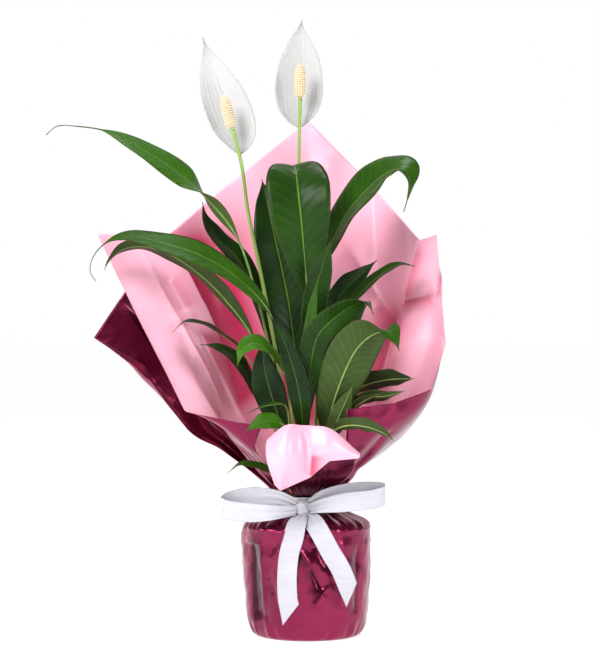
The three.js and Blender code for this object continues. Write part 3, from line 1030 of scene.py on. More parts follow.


# Each leaf's tone mixes its age with painted shade: low for leaves deep in the plant's shadow.
LEAVES = (
    Leaf("leaf_top_left", 4, 18, (-0.6, 0.66, -0.45), (0, 0.7, 0.7), path=(
        (-8, 9, 100), (-8, 9.6, 142), (-30, -4, 254), (-49, -18, 334), (-68, -28, 393), (-90, -34, 425),
        (-115, -40, 449), (-144, -46, 470), (-171, -50, 486), (-197, -52, 498), (-223, -54, 502),
        (-243, -56, 502), (-254, -58, 493),
    ), tail=0.34, dry=0.36, tone=0.8, bulge=0.95, turn=(0.06, 0.27), fold=10),
    Leaf("leaf_long_left", 3, 17, (0.2, 0.65, 0.7), (0, 0.9, 0.4), path=(
        (-10, -6, 100), (-10.8, -6.2, 142), (-20, -30, 255), (-36, -48, 319), (-65, -58, 352),
        (-99, -66, 374), (-137, -72, 387), (-171, -76, 394), (-191, -80, 389), (-205, -82, 375),
        (-208, -84, 360), (-202, -84, 350),
    ), tail=0.3, dry=0.22, tone=0.6, fold=12),
    Leaf("leaf_under_left", 3, 17, (-0.45, 0.8, -0.4), (0, 0.9, -0.4), path=(
        (-12, 2, 100), (-12.3, 2.2, 142), (-32, -12, 244), (-53, -26, 296), (-78, -34, 332),
        (-105, -40, 359), (-134, -44, 378), (-161, -46, 386), (-182, -48, 382), (-194, -50, 370),
        (-198, -50, 362),
    ), tone=0.25, dry=0.08),
    Leaf("leaf_back_left", 2, 14, (0.6, 0.7, 0.3), None, path=(
        (-13, 13, 100), (-14.1, 14.1, 142), (-27, 24, 253), (-45, 26, 324), (-68, 24, 373),
        (-92, 20, 399), (-103, 16, 417), (-105, 12, 433),
    ), tone=0.05),
    Leaf("leaf_centre_large", 3, 33, (1, 0, 0), None, path=(
        (4, 4, 100), (3.9, 3.9, 142), (-2, -18, 254), (0, -32, 334), (-4, -42, 392), (-9, -40, 441),
        (-12, -24, 464), (-17, -6, 467), (-24, 6, 458), (-30, 11, 438),
    ), tone=0.22, tail=0.28, bulge=0.9),
    Leaf("leaf_centre_back", 2, 24, (1, 0.1, 0.2), None, path=(
        (0, 12, 100), (0, 12.5, 142), (-9, 14, 254), (-19, 16, 334), (-32, 20, 395), (-41, 26, 435),
        (-46, 32, 458),
    ), tone=0.05),
    Leaf("leaf_top_right", 3, 30, (0.3, -0.6, -0.65), (-0.6, -0.75, -0.2), path=(
        (7, 17, 100), (7.7, 18.5, 142), (11, 16, 260), (21, 4, 376), (36, -2, 414), (57, -8, 441),
        (80, -14, 460), (95, -20, 463), (101, -26, 452), (99, -28, 434), (95, -28, 420),
    ), tone=0.5, bulge=0.68, tail=0.08),
    Leaf("leaf_centre_right", 2, 14, (0.9, 0.4, -0.2), None, path=(
        (0, 0, 100), (0, 0, 142), (2, -34, 255), (4, -46, 309), (11, -54, 353), (18, -56, 376),
        (23, -54, 393),
    ), tone=0.2),
    Leaf("leaf_young_centre", 2, 8, (0.8, -0.6, 0), None, path=(
        (-4, -4, 100), (-3.9, -3.9, 142), (-1, -44, 236), (2, -58, 289), (6, -64, 328), (11, -66, 358),
    ), tone=0.6),
    Leaf("leaf_right_upper", 3, 14, (0.5, -0.5, -0.65), None, path=(
        (13, 13, 100), (14.1, 14.1, 142), (12, 14, 254), (19, 8, 309), (35, 4, 340), (53, 0, 358),
        (70, -4, 374),
    ), tone=0.1),
    Leaf("leaf_right_narrow", 3, 9, (0.3, -0.85, -0.4), None, path=(
        (18, 7, 100), (18.5, 7.7, 142), (18, 0, 234), (29, -10, 304), (49, -14, 336), (74, -16, 360),
        (92, -18, 369), (107, -22, 367),
    ), tone=0.2),
    Leaf("leaf_right_bent", 2, 15, (0.85, -0.2, -0.4), (0.8, 0.4, 0), path=(
        (4, -11, 100), (4.3, -11.7, 142), (0, -50, 216), (3, -66, 265), (10, -74, 298), (28, -80, 317),
        (45, -84, 328), (57, -88, 331), (63, -92, 319),
    ), tone=0.2),
    Leaf("leaf_right_shaded", 2, 13, (0.8, -0.4, -0.4), None, path=(
        (8, 9, 100), (8, 9.6, 142), (13, -18, 225), (25, -28, 274), (38, -34, 304), (50, -38, 320),
        (60, -40, 330),
    ), tone=0),
    Leaf("leaf_right_large", 2, 25, (-1, 0.1, 0.2), (-0.87, -0.36, -0.2), path=(
        (10, -6, 100), (10.8, -6.2, 142), (18, -50, 197), (25, -72, 232), (35, -84, 262), (48, -92, 287),
        (63, -98, 300), (76, -104, 303), (83, -108, 295), (87, -108, 284),
    ), tone=0.5),
    Leaf("leaf_edge_on", 2, 8, (-0.5, 0.85, 0), None, path=(
        (4, -4, 100), (3.9, -3.9, 142), (9, -40, 216), (14, -52, 265), (25, -58, 289), (38, -62, 314),
    ), tone=0.6),
    Leaf("leaf_right_striped", 3, 14, (0, -0.7, 0.65), None, path=(
        (19, 0, 100), (20, 0, 142), (24, -30, 206), (36, -44, 236), (55, -54, 250), (78, -62, 256),
        (93, -68, 257), (104, -72, 257),
    ), tone=0.08, dry=0.12),
    Leaf("leaf_right_low", 3, 9, (0, -0.7, 0.6), None, path=(
        (12, 2, 100), (12.3, 2.2, 142), (27, -44, 201), (39, -60, 226), (58, -71, 238), (77, -80, 241),
        (95, -84, 246),
    ), tone=0.25, dry=0.08),
    Leaf("leaf_right_small", 3, 8, (0, -0.8, 0.5), None, path=(
        (18, -7, 100), (18.5, -7.7, 142), (25, -50, 196), (35, -66, 217), (47, -75, 231), (60, -82, 239),
        (72, -88, 244),
    ), tone=0.2),
    Leaf("leaf_front_right", 3, 11, (-0.2, -0.7, 0.6), None, path=(
        (7, -17, 100), (7.7, -18.5, 142), (18, -64, 188), (26, -90, 208), (40, -104, 214),
        (59, -110, 212), (73, -110, 206), (82, -109, 199),
    ), tone=0.4, dry=0.06),
    Leaf("leaf_young_right", 2, 10, (-1, 0.1, 0.2), None, path=(
        (13, -13, 100), (14.1, -14.1, 142), (20, -60, 194), (29, -77, 217), (37, -82, 236),
        (44, -88, 252),
    ), tone=0.6),
    Leaf("leaf_front_strap", 2, 11, (1, 0, 0), None, path=(
        (0, -18, 100), (0, -20, 142), (-4, -60, 197), (-6, -78, 232), (-13, -84, 266), (-25, -86, 299),
        (-38, -86, 321),
    ), tone=0.02),
    Leaf("leaf_front_left", 3, 13, (0, 0.7, 0.7), (-0.9, 0.2, 0.3), path=(
        (-4, -11, 100), (-4.3, -11.7, 142), (-14, -54, 216), (-21, -68, 260), (-36, -78, 283),
        (-51, -84, 291), (-62, -90, 285), (-67, -92, 269),
    ), tone=0.95),
    Leaf("leaf_left_thin", 3, 6, (0, 0.9, 0.3), None, path=(
        (-17, 7, 100), (-18.5, 7.7, 142), (-39, 6, 234), (-63, 0, 282), (-85, -8, 300), (-103, -18, 310),
        (-120, -28, 312), (-133, -36, 301),
    ), tone=0.1, dry=0.3),
    Leaf("leaf_left_shaded", 2, 11, (0.3, 0.8, 0.5), None, path=(
        (-19, 0, 100), (-20, 0, 142), (-35, -8, 214), (-55, -14, 249), (-72, -18, 276), (-90, -20, 287),
        (-106, -20, 290),
    ), tone=0, dry=0.15),
    Leaf("leaf_left_dark", 3, 17, (1, -0.2, 0), None, path=(
        (-4, 4, 100), (-3.9, 3.9, 142), (-10, -19, 170), (-23, -42, 206), (-34, -52, 238),
        (-42, -58, 270), (-44, -58, 299),
    ), tone=0),
    Leaf("leaf_left_sliver", 3, 6, (0, 1, 0.1), None, path=(
        (-18, -7, 100), (-18.5, -7.7, 142), (-17, -58, 207), (-22, -76, 232), (-38, -84, 232),
        (-58, -88, 224),
    ), tone=0.5),
    Leaf("leaf_left_small", 3, 10, (0, 0.6, 0.75), None, path=(
        (-7, -17, 100), (-7.7, -18.5, 142), (-15, -66, 193), (-22, -84, 212), (-36, -92, 217),
        (-48, -96, 214), (-59, -96, 208),
    ), tone=0.9),
    Leaf("leaf_left_lowest", 3, 6, (0, 0.8, 0.5), None, path=(
        (-13, -13, 100), (-14.1, -14.1, 142), (-18, -34, 151), (-26, -53, 161), (-38, -68, 169),
        (-52, -75, 174), (-65, -78, 175), (-76, -82, 167),
    ), tone=0.5, dry=0.3),
)


# ---------------------------------------------------------------- flowers


@dataclass
class Flower:
    """A flower: its stalk, the white hooded spathe behind it and the knobbly spadix on top.

    Args:
        name: the CAD nodes' common name.
        stem: the stalk's path in millimetres.
        hood: the spathe's midrib in millimetres.
        half: half the spathe's width in millimetres.
        side: direction across the spathe.
        spadix_radius: the spadix's radius in millimetres.
        spadix_length: its length in millimetres.
        spirals: how many spiral rows of florets run each way.
        floret: the height in millimetres over which a row rises by half its turn.
    """

    name: str
    stem: Sequence[Point]
    hood: Sequence[Point]
    half: float
    side: Point
    spadix_radius: float = 6.0
    spadix_length: float = 34.0
    spirals: int = 7
    floret: float = 2.4

    def stalk_radius(self, t: Array) -> Array:
        """The stalk's radius, a little thicker where the flower joins it."""
        return 2.1 - 0.5 * t + 0.5 * smooth(t, 0.93, 1.0)

    def hood_surface(self, u: Array, v: Array) -> Array:
        """Places on the spathe, cupped towards the spadix, with soft pleats.

        Args:
            u: place across it, from 0 to 1.
            v: place along it, from 0 to 1.

        Returns:
            The places in millimetres, shaped (samples, 3).
        """
        place, _, side, normal = Spine(self.hood, self.side).frames(v * BLADE_END)
        a = 2 * u - 1
        width = np.maximum(self.half * blade_share(v), 0.5)
        cup = 0.34 * np.abs(a) ** 1.7 - 0.06 * np.abs(a) ** 6
        pleat = 0.012 * np.cos(a * 21) * (1 - np.abs(a))
        pleat = pleat + 0.03 * np.abs(a) ** 2 * np.sin(9 * v + 2 * np.sign(a))
        reach = width * a * 0.93
        return place + side * reach[:, None] + normal * (width * (cup + pleat))[:, None]

    def build_hood(self, finish: bpy.types.Material) -> bpy.types.Object:
        """Models the spathe.

        Args:
            finish: its material.

        Returns:
            The spathe, settled in the frame.
        """
        hood = grid(self.name + "_hood", 26, 72, self.hood_surface)
        hood.data.materials.append(finish)
        solidify(hood, HOOD_THICKNESS)
        return settle(hood, self.name + "_spathe")

    def build_stalk(self, finish: bpy.types.Material) -> bpy.types.Object:
        """Models the stalk.

        Args:
            finish: its material.

        Returns:
            The stalk, settled in the frame.
        """
        stalk = tube(self.name + "_stem", Spine(self.stem), self.stalk_radius, 60, 12)
        stalk.data.materials.append(finish)
        return settle(stalk, self.name + "_stalk")

    def build_spadix(self, finish: bpy.types.Material) -> bpy.types.Object:
        """Models the spadix: a blunt spike set with florets in spiral rows.

        Args:
            finish: its material.

        Returns:
            The spadix, settled in the frame.
        """
        spike = ball(self.name + "_florets", 160, 110)
        x, y, z = places_of(spike).T
        turn = np.arctan2(y, x)
        height = (np.arcsin(np.clip(z, -1, 1)) / math.pi + 0.5) * self.spadix_length
        share = height / self.spadix_length
        blunt_foot = np.sqrt(np.maximum(1 - (1 - share / 0.16).clip(0) ** 2, 0))
        girth = self.spadix_radius * np.minimum(1, blunt_foot)
        girth = girth * np.sqrt(np.maximum(1 - ((share - 0.5).clip(0) / 0.5) ** 2.6, 0))
        round_it, up_it = self.spirals * turn, math.pi * height / self.floret
        knob = np.maximum(np.cos(round_it + up_it) * np.cos(round_it - up_it), 0) ** 0.6
        girth = girth * (0.83 + 0.2 * knob)
        foot = np.array(self.stem[-1], float)
        axis = unit(foot - np.array(self.stem[-2], float))
        across = unit(np.cross(axis, np.array((0.0, -1.0, 0.0))))
        deep = np.cross(axis, across)
        place = foot + axis * (height + 0.4)[:, None]
        place = place + (across * np.cos(turn)[:, None] + deep * np.sin(turn)[:, None]) * girth[:, None]
        put(spike, place)
        # knob also places the painted shade between florets.
        attribute(spike, "knob", knob)
        spike.data.materials.append(finish)
        return settle(spike, self.name + "_spadix")

    def build(self, hood: bpy.types.Material, stalk: bpy.types.Material,
              spadix: bpy.types.Material) -> None:
        """Builds the three pieces.

        Args:
            hood: the spathe's material.
            stalk: the stalk's material.
            spadix: the spadix's material.
        """
        self.build_hood(hood)
        self.build_stalk(stalk)
        self.build_spadix(spadix)


FLOWERS = (
    Flower(
        "flower_left",
        ((-7, 17, 100), (-7.7, 18.5, 142), (-26, 8, 254), (-47, 0, 364), (-59, -8, 423), (-65, -14, 468),
         (-74, -18, 503)),
        ((-66, -8, 479), (-70, 0, 496), (-78, 5, 520), (-90, 6, 552), (-98, 2, 576), (-104, -6, 596)),
        25, (0.94, 0, -0.3),
    ),
    Flower(
        "flower_right",
        ((0, 19, 100), (0, 20, 142), (-2, 28, 253), (-7, 27, 355), (-9, 21, 435), (-8, 15, 485),
         (-7, 8, 537)),
        ((-7, 19, 508), (-8, 27, 524), (-8, 33, 548), (-7, 33, 580), (-7, 27, 602), (-5, 18, 617)),
        26, (1, 0, 0),
    ),
)


# ---------------------------------------------------------------- wrapping film


class Side(Enum):
    """Which face of a film panel shows on its first side."""

    PINK_FIRST = "pink_first"
    MAGENTA_FIRST = "magenta_first"
    MAGENTA_BOTH = "magenta_both"


@dataclass
class Panel:
    """One panel of the film collar.

    Args:
        name: the CAD node it stands for.
        side: which face comes first.
        rows: control rows from the neck to the free edge, in millimetres.
        flat: the panel's cut size in metres; not used.
        area: its flat area in square metres; not used.
        crumple: how strong its gathers and soft folds are.
        folds: its soft folds.
        creases: its long folds, with their painted shade.
        columns: faces across it.
        lines: faces from the neck to the free edge.
    """

    name: str
    side: Side
    rows: Sequence[Sequence[Point]]
    flat: tuple[float, float]
    area: float
    crumple: float = 1.0
    folds: Crumple = Crumple(4, 130, 45, 5, 2.5)
    creases: tuple[Crease, ...] = ()
    columns: int = 110
    lines: int = 110

    def base(self, u: Array, v: Array) -> Array:
        """Places on the smooth panel, with a free edge cut straight between its corners.

        Args:
            u: place across the panel, from 0 to 1.
            v: place from the neck to the free edge, from 0 to 1.

        Returns:
            The places in millimetres, shaped (samples, 3).
        """
        net = [np.array(row, float)[:, None, :] for row in self.rows]
        soft = catmull(np.stack([catmull(row, u) for row in net]), v)
        edge = net[-1][:, 0, :]
        place = np.clip(u, 0, 1) * (len(edge) - 1)
        first = np.minimum(place.astype(int), len(edge) - 2)
        straight = edge[first] + (edge[first + 1] - edge[first]) * (place - first)[:, None]
        return soft + (straight - catmull(net[-1], u)) * (v**6)[:, None]

    def surface(self, u: Array, v: Array) -> Array:
        """Places on the panel with its gathers, folds and creases.

        Args:
            u: place across the panel, from 0 to 1.
            v: place from the neck to the free edge, from 0 to 1.

        Returns:
            The places in millimetres, shaped (samples, 3).
        """
        place = self.base(u, v)
        d_u = self.base(np.minimum(u + NUDGE, 1), v) - self.base(np.maximum(u - NUDGE, 0), v)
        d_v = self.base(u, np.minimum(v + NUDGE, 1)) - self.base(u, np.maximum(v - NUDGE, 0))
        normal = unit(np.cross(d_u, d_v))
        gather = 2.0 * np.exp(-v * 5.5) * ripple(u * 7.3 + 0.4 * np.sin(9 * u)) * smooth(v, 0.0, 0.06)
        ray = 1.5 * np.exp(-((v - 0.3) ** 2) / 0.06) * ripple(u * 4.1 + 0.25 * v + 0.13)
        facet = 1.6 * self.folds.height(place)
        soft = self.crumple * (gather + ray + facet) * (1 - 0.5 * v)
        lift = soft + sum(crease.reach(place)[0] for crease in self.creases)
        return place + normal * lift[:, None]

    def build(self, pink: bpy.types.Material, magenta: bpy.types.Material) -> bpy.types.Object:
        """Models and dresses the panel.

        Args:
            pink: the film's matt side.
            magenta: its metallic side.

        Returns:
            The panel, settled in the frame.
        """
        film = grid("collar_" + self.name.removeprefix("film_"), self.columns, self.lines, self.surface)
        places = places_of(film) / MM
        # Painted shade: the film darkens towards the tie at the neck, where the gathers hold shade, and
        # beside its creases.
        gathered = 0.7 * np.exp(-(places[:, 2] - TIE_Z) / 16)
        shade = gathered + sum(crease.reach(places)[1] for crease in self.creases)
        attribute(film, "deep", np.clip(shade, 0, 1))
        first, second = {
            Side.PINK_FIRST: (pink, magenta),
            Side.MAGENTA_FIRST: (magenta, pink),
            Side.MAGENTA_BOTH: (magenta, magenta),
        }[self.side]
        film.data.materials.append(first)
        film.data.materials.append(second)
        solidify(film, COLLAR_THICKNESS, 0.0, other_side=1)
        return settle(film, self.name)


# The creases' shade numbers paint shade into the collar: crimson behind ridges and in valleys of the pink
# side, dark beside folds of the metallic side.
PANELS = (
    Panel("film_back_panel", Side.PINK_FIRST, (
        ((-23, 8, 138), (-13, 20, 138), (0, 24, 138), (13, 20, 138), (23, 8, 138)),
        ((-66, 50, 190), (-48, 72, 212), (-2, 84, 222), (40, 74, 214), (62, 32, 205)),
        ((-112, 62, 290), (-88, 92, 330), (-2, 106, 366), (72, 92, 332), (94, 42, 296)),
        ((-166, 62, 382), (-86, 100, 454), (2, 114, 525), (68, 98, 456), (118, 46, 393)),
    ), (0.34, 0.42), 0.08, creases=(
        Crease((-80, 205), (-150, 410), shade=1.8, depth=66),
        Crease((-30, 190), (-30, 330), shade=1.2, depth=60),
        Crease((100, 335), (66, 225), shade=0.8, depth=24),
        Crease((38, 402), (92, 312), 9, -6, 0.3, 16),
        Crease((-4, 420), (30, 490), 12, 6),
    )),
    Panel("film_left_panel", Side.MAGENTA_FIRST, (
        ((-23.5, 2, 138), (-23.5, -6, 138), (-20, -13, 138), (-14.5, -19, 138)),
        ((-62, 26, 222), (-84, -16, 214), (-62, -46, 184), (-34, -58, 168)),
        ((-90, 14, 302), (-134, -22, 312), (-100, -58, 224), (-50, -76, 190)),
        ((-136, 26, 398), (-208, -20, 400), (-118, -70, 225), (-44, -84, 212)),
    ), (0.22, 0.30), 0.036, creases=(
        Crease((-79, 218), (-162, 379), 4, -4, 0.15, 8),
        Crease((-118, 320), (-140, 360), 14, 5, 0.35, 16),
        Crease((-62, 210), (-112, 312), 8, 4, 0.75, 34),
    )),
    Panel("film_right_panel", Side.MAGENTA_FIRST, (
        ((14.5, -19, 138), (20, -13, 138), (23.5, -5, 138), (24, 4, 138)),
        ((36, -64, 172), (72, -50, 184), (98, -8, 208), (82, 14, 210), (60, 20, 206)),
        ((38, -90, 204), (84, -76, 214), (120, -38, 236), (131, 0, 300), (108, 18, 300), (88, 30, 297)),
        ((38, -94, 228), (84, -78, 234), (122, -52, 246), (138, -16, 290), (131, 14, 400), (111, 36, 394)),
    ), (0.20, 0.26), 0.030, creases=(
        Crease((60, 222), (96, 330), 6, 3, 0.7, 18),
        Crease((96, 330), (113, 392), 4, 2, 0.6, 9),
        Crease((92, 332), (129, 341), 4, 5, 0.6, 13),
        Crease((129, 338), (133, 362), 3, 4, 0.5, 5),
        Crease((42, 158), (84, 206), 8, -7, 0.3, 12),
    )),
    Panel("film_front_flap", Side.MAGENTA_FIRST, (
        ((-11, -23, 138), (-5.5, -24, 138), (0, -24.5, 138), (5.5, -24, 138), (11, -23, 138)),
        ((-24, -56, 164), (-12, -63, 168), (2, -66, 168), (20, -67, 168), (42, -62, 164)),
        ((-31, -90, 192), (-17, -97, 206), (-2, -95, 207), (18, -97, 203), (46, -89, 180)),
        ((-38, -97, 200), (-20, -107, 214), (-2, -101, 213), (20, -105, 211), (49, -94, 187)),
        ((-39, -102, 184), (-21, -119, 186), (-2, -108, 186), (20, -113, 193), (50, -99, 184)),
        ((-31.5, -86, 156), (-26, -92, 150.5), (3, -96, 164), (21, -104, 180), (48, -98, 182)),
    ), (0.09, 0.16), 0.011, crumple=0.3, columns=90, lines=130, creases=(
        Crease((-1, 212), (1, 164), 3, -3, 0.35, 8),
        Crease((2, 163), (4, 188), 3, 0, 0.9, 9),
    )),
    Panel("film_outer_panel", Side.MAGENTA_BOTH, (
        ((-25, 12, 138), (-27, 4, 138), (-27, -4, 138)),
        ((-82, 50, 200), (-68, 12, 184), (-56, -10, 164)),
        ((-150, 58, 300), (-144, 14, 256), (-112, -24, 208)),
        ((-186, 60, 346), (-214, 8, 296), (-152, -18, 256)),
    ), (0.16, 0.27), 0.022, creases=(
        Crease((-100, 205), (-192, 335), 9, -8, 1.0, 16),
        Crease((-90, 180), (-170, 280), 12, 8),
    )),
)


@dataclass
class Skirt:
    """The film round the pot: flat underneath, crumpled at the sides and gathered into the tie.

    Args:
        profile: its shape from the middle of its underside to the tie, as radius and height in millimetres.
        rim: the radius that the pot's rim holds it out to, and the heights it does so between.
        folds: the large folds of its sides.
        small: the small creases between them.
        creases: long folds with their painted shade, laid out from the front and repeated behind.
        columns: faces round it.
        lines: faces from the middle of its underside to the tie.
    """

    profile: Sequence[tuple[float, float]] = (
        (0.0, 0.3), (25.0, 0.3), (49.5, 0.3), (53.5, 2.0), (56.0, 6.0), (59.0, 14.0), (61.5, 26.0),
        (64.0, 60.0), (64.5, 96.0), (63.8, 107.0), (61.5, 112.5), (57.0, 116.0), (45.0, 121.0),
        (34.0, 126.0), (28.0, 130.0), (26.2, 134.0), (26.4, 139.0),
    )
    rim: tuple[float, float, float] = (63.1, 94.0, 109.0)
    folds: Crumple = Crumple(11, 80, 34, 4, 3.0)
    small: Crumple = Crumple(5, 34, 12, 6, 1.3)
    creases: tuple[Crease, ...] = (
        Crease((-53, 12), (-56, 106), 5, -4, 1.0, 9),
        Crease((-47, 104), (-44, 22), 3, 3, 0.5, 5),
        Crease((-12, 98), (4, 74), 4, 3, 0.7, 9),
        Crease((4, 74), (16, 50), 4, -4, 0.7, 10),
        Crease((16, 50), (6, 34), 4, 3, 0.5, 9),
        Crease((12, 96), (22, 70), 4, -3, 0.6, 8),
        Crease((30, 84), (33, 30), 7, 3, 0.4, 12),
        Crease((52, 96), (48, 20), 6, -3, 0.6, 10),
        Crease((-36, 60), (-22, 14), 9, -3, 0.35, 14),
    )
    columns: int = 300
    lines: int = 160

    def pressed(self, places: Array) -> tuple[Array, Array]:
        """The lift and shade of the long folds, in front and, turned round, behind.

        Args:
            places: points in millimetres, shaped (samples, 3).

        Returns:
            The lift in millimetres, and the shade from 0 to 1.
        """
        seen = places.copy()
        seen[places[:, 1] > 0, 0] *= -1
        lifts, shades = zip(*(crease.reach(seen) for crease in self.creases))
        return sum(lifts), np.clip(sum(shades), 0, 1)

    def surface(self, u: Array, v: Array) -> Array:
        """Places on the skirt.

        Args:
            u: place round it, from 0 to 1.
            v: place from the middle of its underside to the tie, from 0 to 1.

        Returns:
            The places in millimetres, shaped (samples, 3).
        """
        line = np.array([(r, 0.0, z) for r, z in self.profile])
        steps = np.r_[0, np.cumsum(np.linalg.norm(np.diff(line, axis=0), axis=1))]
        share = np.interp(v * steps[-1], steps, np.linspace(0, 1, len(line)))
        radius, _, z = catmull(line[:, None, :], share).T
        turn = 2 * math.pi * u
        x, y = np.cos(turn), np.sin(turn)
        wall = smooth(z, 6, 30) * (1 - smooth(z, 100, 112))
        face = np.column_stack([radius * x, radius * y, z])
        facet = 2.2 * self.folds.height(face) + 0.5 * self.small.height(face) + self.pressed(face)[0]
        shoulder = smooth(z, 104, 118) * (radius > 20)
        pleat = ripple(u * 23 + 0.16 * np.sin(3 * turn))
        pleat = pleat + 0.6 * ripple(u * 37 + 0.2 + 0.1 * np.sin(5 * turn + z / 9))
        rim = np.exp(-((z - 108) ** 2) / 6) * 0.5
        hem = smooth(z, 0.6, 6) * (1 - smooth(z, 8, 22))
        hem = hem * (0.9 * ripple(u * 19) + 0.5 * ripple(u * 31 + 0.3))
        gather = shoulder * pleat * 1.25 * (1 - 0.55 * smooth(z, 124, 134))
        lift = wall * (facet - 1.0) + gather + rim + hem - shoulder * 0.4
        held_out = (z > self.rim[1]) & (z < self.rim[2])
        radius = np.maximum(np.where(z > 0.6, radius + lift, radius), np.where(held_out, self.rim[0], 0.0))
        z = z + smooth(z, 110, 122) * 0.8 * ripple(u * 11 + 0.2) * (1 - smooth(z, 126, 132))
        return np.column_stack([radius * x, radius * y, z])

    def build(self, magenta: bpy.types.Material, pink: bpy.types.Material) -> bpy.types.Object:
        """Models the skirt and closes its seam and the pole under the pot.

        Args:
            magenta: the film's metallic side.
            pink: its matt side.

        Returns:
            The skirt, settled in the frame.
        """
        film = grid("pot_skirt", self.columns, self.lines, self.surface)
        places = places_of(film) / MM
        z = places[:, 2]
        # Painted shade: darker beside the long folds above the hem, and towards the tie over the pot's rim.
        attribute(film, "deep", self.pressed(places)[1] * smooth(z, 2, 12) + 0.6 * smooth(z, 112, 126))
        close_seam(film)
        film.data.materials.append(magenta)
        film.data.materials.append(pink)
        solidify(film, SKIRT_THICKNESS, -1.0, other_side=1)
        return settle(film, "pot_wrap")


# ---------------------------------------------------------------- ribbon


@dataclass
class Band:
    """A length of ribbon along a path.

    Args:
        name: the piece's name.
        node: the CAD node it stands for.
        path: the middle of the ribbon, in millimetres.
        side: direction across the ribbon.
        length: the ribbon's cut length in metres; not used.
        pinch: width at a gathered end, in millimetres.
        both: whether both ends are gathered.
        cut: how far the far end is cut on the slant, in millimetres.
        width: the ribbon's full width in millimetres.
    """

    name: str
    node: str
    path: Sequence[Point]
    side: Point
    length: float
    pinch: float = 9.0
    both: bool = True
    cut: float = 0.0
    width: float = 19.0

    def surface(self, u: Array, v: Array) -> Array:
        """Places on the ribbon, pleated where it is gathered.

        Args:
            u: place across it, from 0 to 1.
            v: place along it, from 0 to 1.

        Returns:
            The places in millimetres, shaped (samples, 3).
        """
        place, along, side, normal = Spine(self.path, self.side).frames(v)
        a = 2 * u - 1
        near = np.minimum(v, 1 - v) if self.both else v
        free = smooth(near, -0.05, 0.25)
        half = (self.pinch + (self.width - self.pinch) * free) / 2
        pleat = (1 - free) * 1.1 * np.cos(a * math.pi * 2.5)
        pleat = pleat + 0.35 * free * (1 - a * a) - 0.25 * np.sin(a * 2.2 + v * 7) * free
        slant = self.cut * smooth(v, 0.8, 1.0) * a
        return place + side * (half * a)[:, None] + normal * pleat[:, None] + along * slant[:, None]

    def build(self, satin: bpy.types.Material) -> bpy.types.Object:
        """Models and dresses the ribbon.

        Args:
            satin: its material.

        Returns:
            The ribbon, settled in the frame.
        """
        ribbon = grid(self.name, 24, 120, self.surface)
        ribbon.data.materials.append(satin)
        solidify(ribbon, RIBBON_THICKNESS)
        return settle(ribbon, self.node)


BANDS = (
    Band("ribbon_loop_left", "bow_loop_left", (
        (-10.5, -47, 134), (-30, -54, 141), (-54, -55, 142), (-74, -54, 138), (-82, -58, 133.5),
        (-81, -63, 131), (-72, -67, 129), (-54, -68.5, 127.5), (-32, -66, 127.5), (-10.5, -53, 128.5),
    ), (0.05, -0.12, 1), 0.16),
    Band("ribbon_loop_right", "bow_loop_right", (
        (2.5, -47, 134), (16, -53, 141), (42, -54, 146), (64, -53, 147), (74, -57, 146), (74, -62, 143.5),
        (65, -66, 140.5), (38, -67.5, 137.5), (16, -62, 134), (2.5, -52, 130),
    ), (0, -0.12, 1), 0.16),
    Band("ribbon_tail_left", "bow_tail_left", (
        (-5, -50, 124), (-8.5, -59, 120.5), (-11, -68, 114), (-13, -73, 104), (-17.5, -73, 88),
        (-19.5, -72, 66), (-19, -71, 47), (-16, -70, 29),
    ), (1, 0, 0.1), 0.12, pinch=12, both=False, cut=-9),
    Band("ribbon_tail_right", "bow_tail_right", (
        (-1, -50.5, 124), (4, -59.5, 120.5), (9, -68.5, 114), (15, -74, 104), (22, -75, 91),
        (32, -74, 74), (39.5, -71, 56), (43, -68, 48),
    ), (1, 0, 0.4), 0.11, pinch=12, both=False, cut=-10),
)


@dataclass
class Knot:
    """The bow's knot and the ribbon tied round the neck.

    Args:
        centre: the middle of the knot, in millimetres.
        size: half the knot's width, depth and height, in millimetres.
        squareness: 1 for a round knot, less for a blockier one.
        neck: the tie's inner radius in millimetres.
        foot: the height of the tie's lower edge in millimetres.
        height: how tall the tie is, in millimetres.
    """

    centre: Point = (-4.0, -47.0, 129.5)
    size: Point = (7.0, 5.0, 7.5)
    squareness: float = 0.75
    neck: float = 28.2
    foot: float = 130.4
    height: float = 8.4

    def knot_surface(self, x: Array, y: Array, z: Array) -> Array:
        """Places on the knot: a rounded block with folds running down it.

        Args:
            x: place across a ball of radius 1.
            y: place from its front to its back.
            z: place from its foot to its top.

        Returns:
            The places in millimetres, shaped (samples, 3).
        """
        shape = np.column_stack([np.sign(c) * np.abs(c) ** self.squareness for c in (x, y, z)])
        fold = 1 + 0.09 * np.sin(8 * x + 4 * z) * (1 - 0.6 * np.abs(z)) + 0.05 * np.sin(13 * z - 3 * x)
        return np.array(self.centre) + shape * np.array(self.size) * fold[:, None]

    def build_knot(self, satin: bpy.types.Material) -> bpy.types.Object:
        """Models the knot.

        Args:
            satin: its material.

        Returns:
            The knot, settled in the frame.
        """
        knot = ball("ribbon_knot", 64, 40)
        put(knot, self.knot_surface(*places_of(knot).T))
        knot.data.materials.append(satin)
        return settle(knot, "bow_knot")

    def tie_surface(self, u: Array, v: Array) -> Array:
        """Places on the tie round the neck.

        Args:
            u: place round it, from 0 to 1.
            v: place up it, from 0 to 1.

        Returns:
            The places in millimetres, shaped (samples, 3).
        """
        turn = 2 * math.pi * u
        radius = self.neck + 0.5 * ripple(v * 2.5) + 0.5 * ripple(u * 23) + 0.8 * (1 - v) ** 3
        return np.column_stack([radius * np.cos(turn), radius * np.sin(turn), self.foot + self.height * v])

    def build_tie(self, satin: bpy.types.Material) -> bpy.types.Object:
        """Models the tie, closed where its ends meet.

        Args:
            satin: its material.

        Returns:
            The tie, settled in the frame.
        """
        tie = grid("ribbon_tie", 220, 20, self.tie_surface)
        close_seam(tie)
        tie.data.materials.append(satin)
        solidify(tie, TIE_THICKNESS)
        return settle(tie, "ribbon_neck_band")


# ---------------------------------------------------------------- pot and potting mix


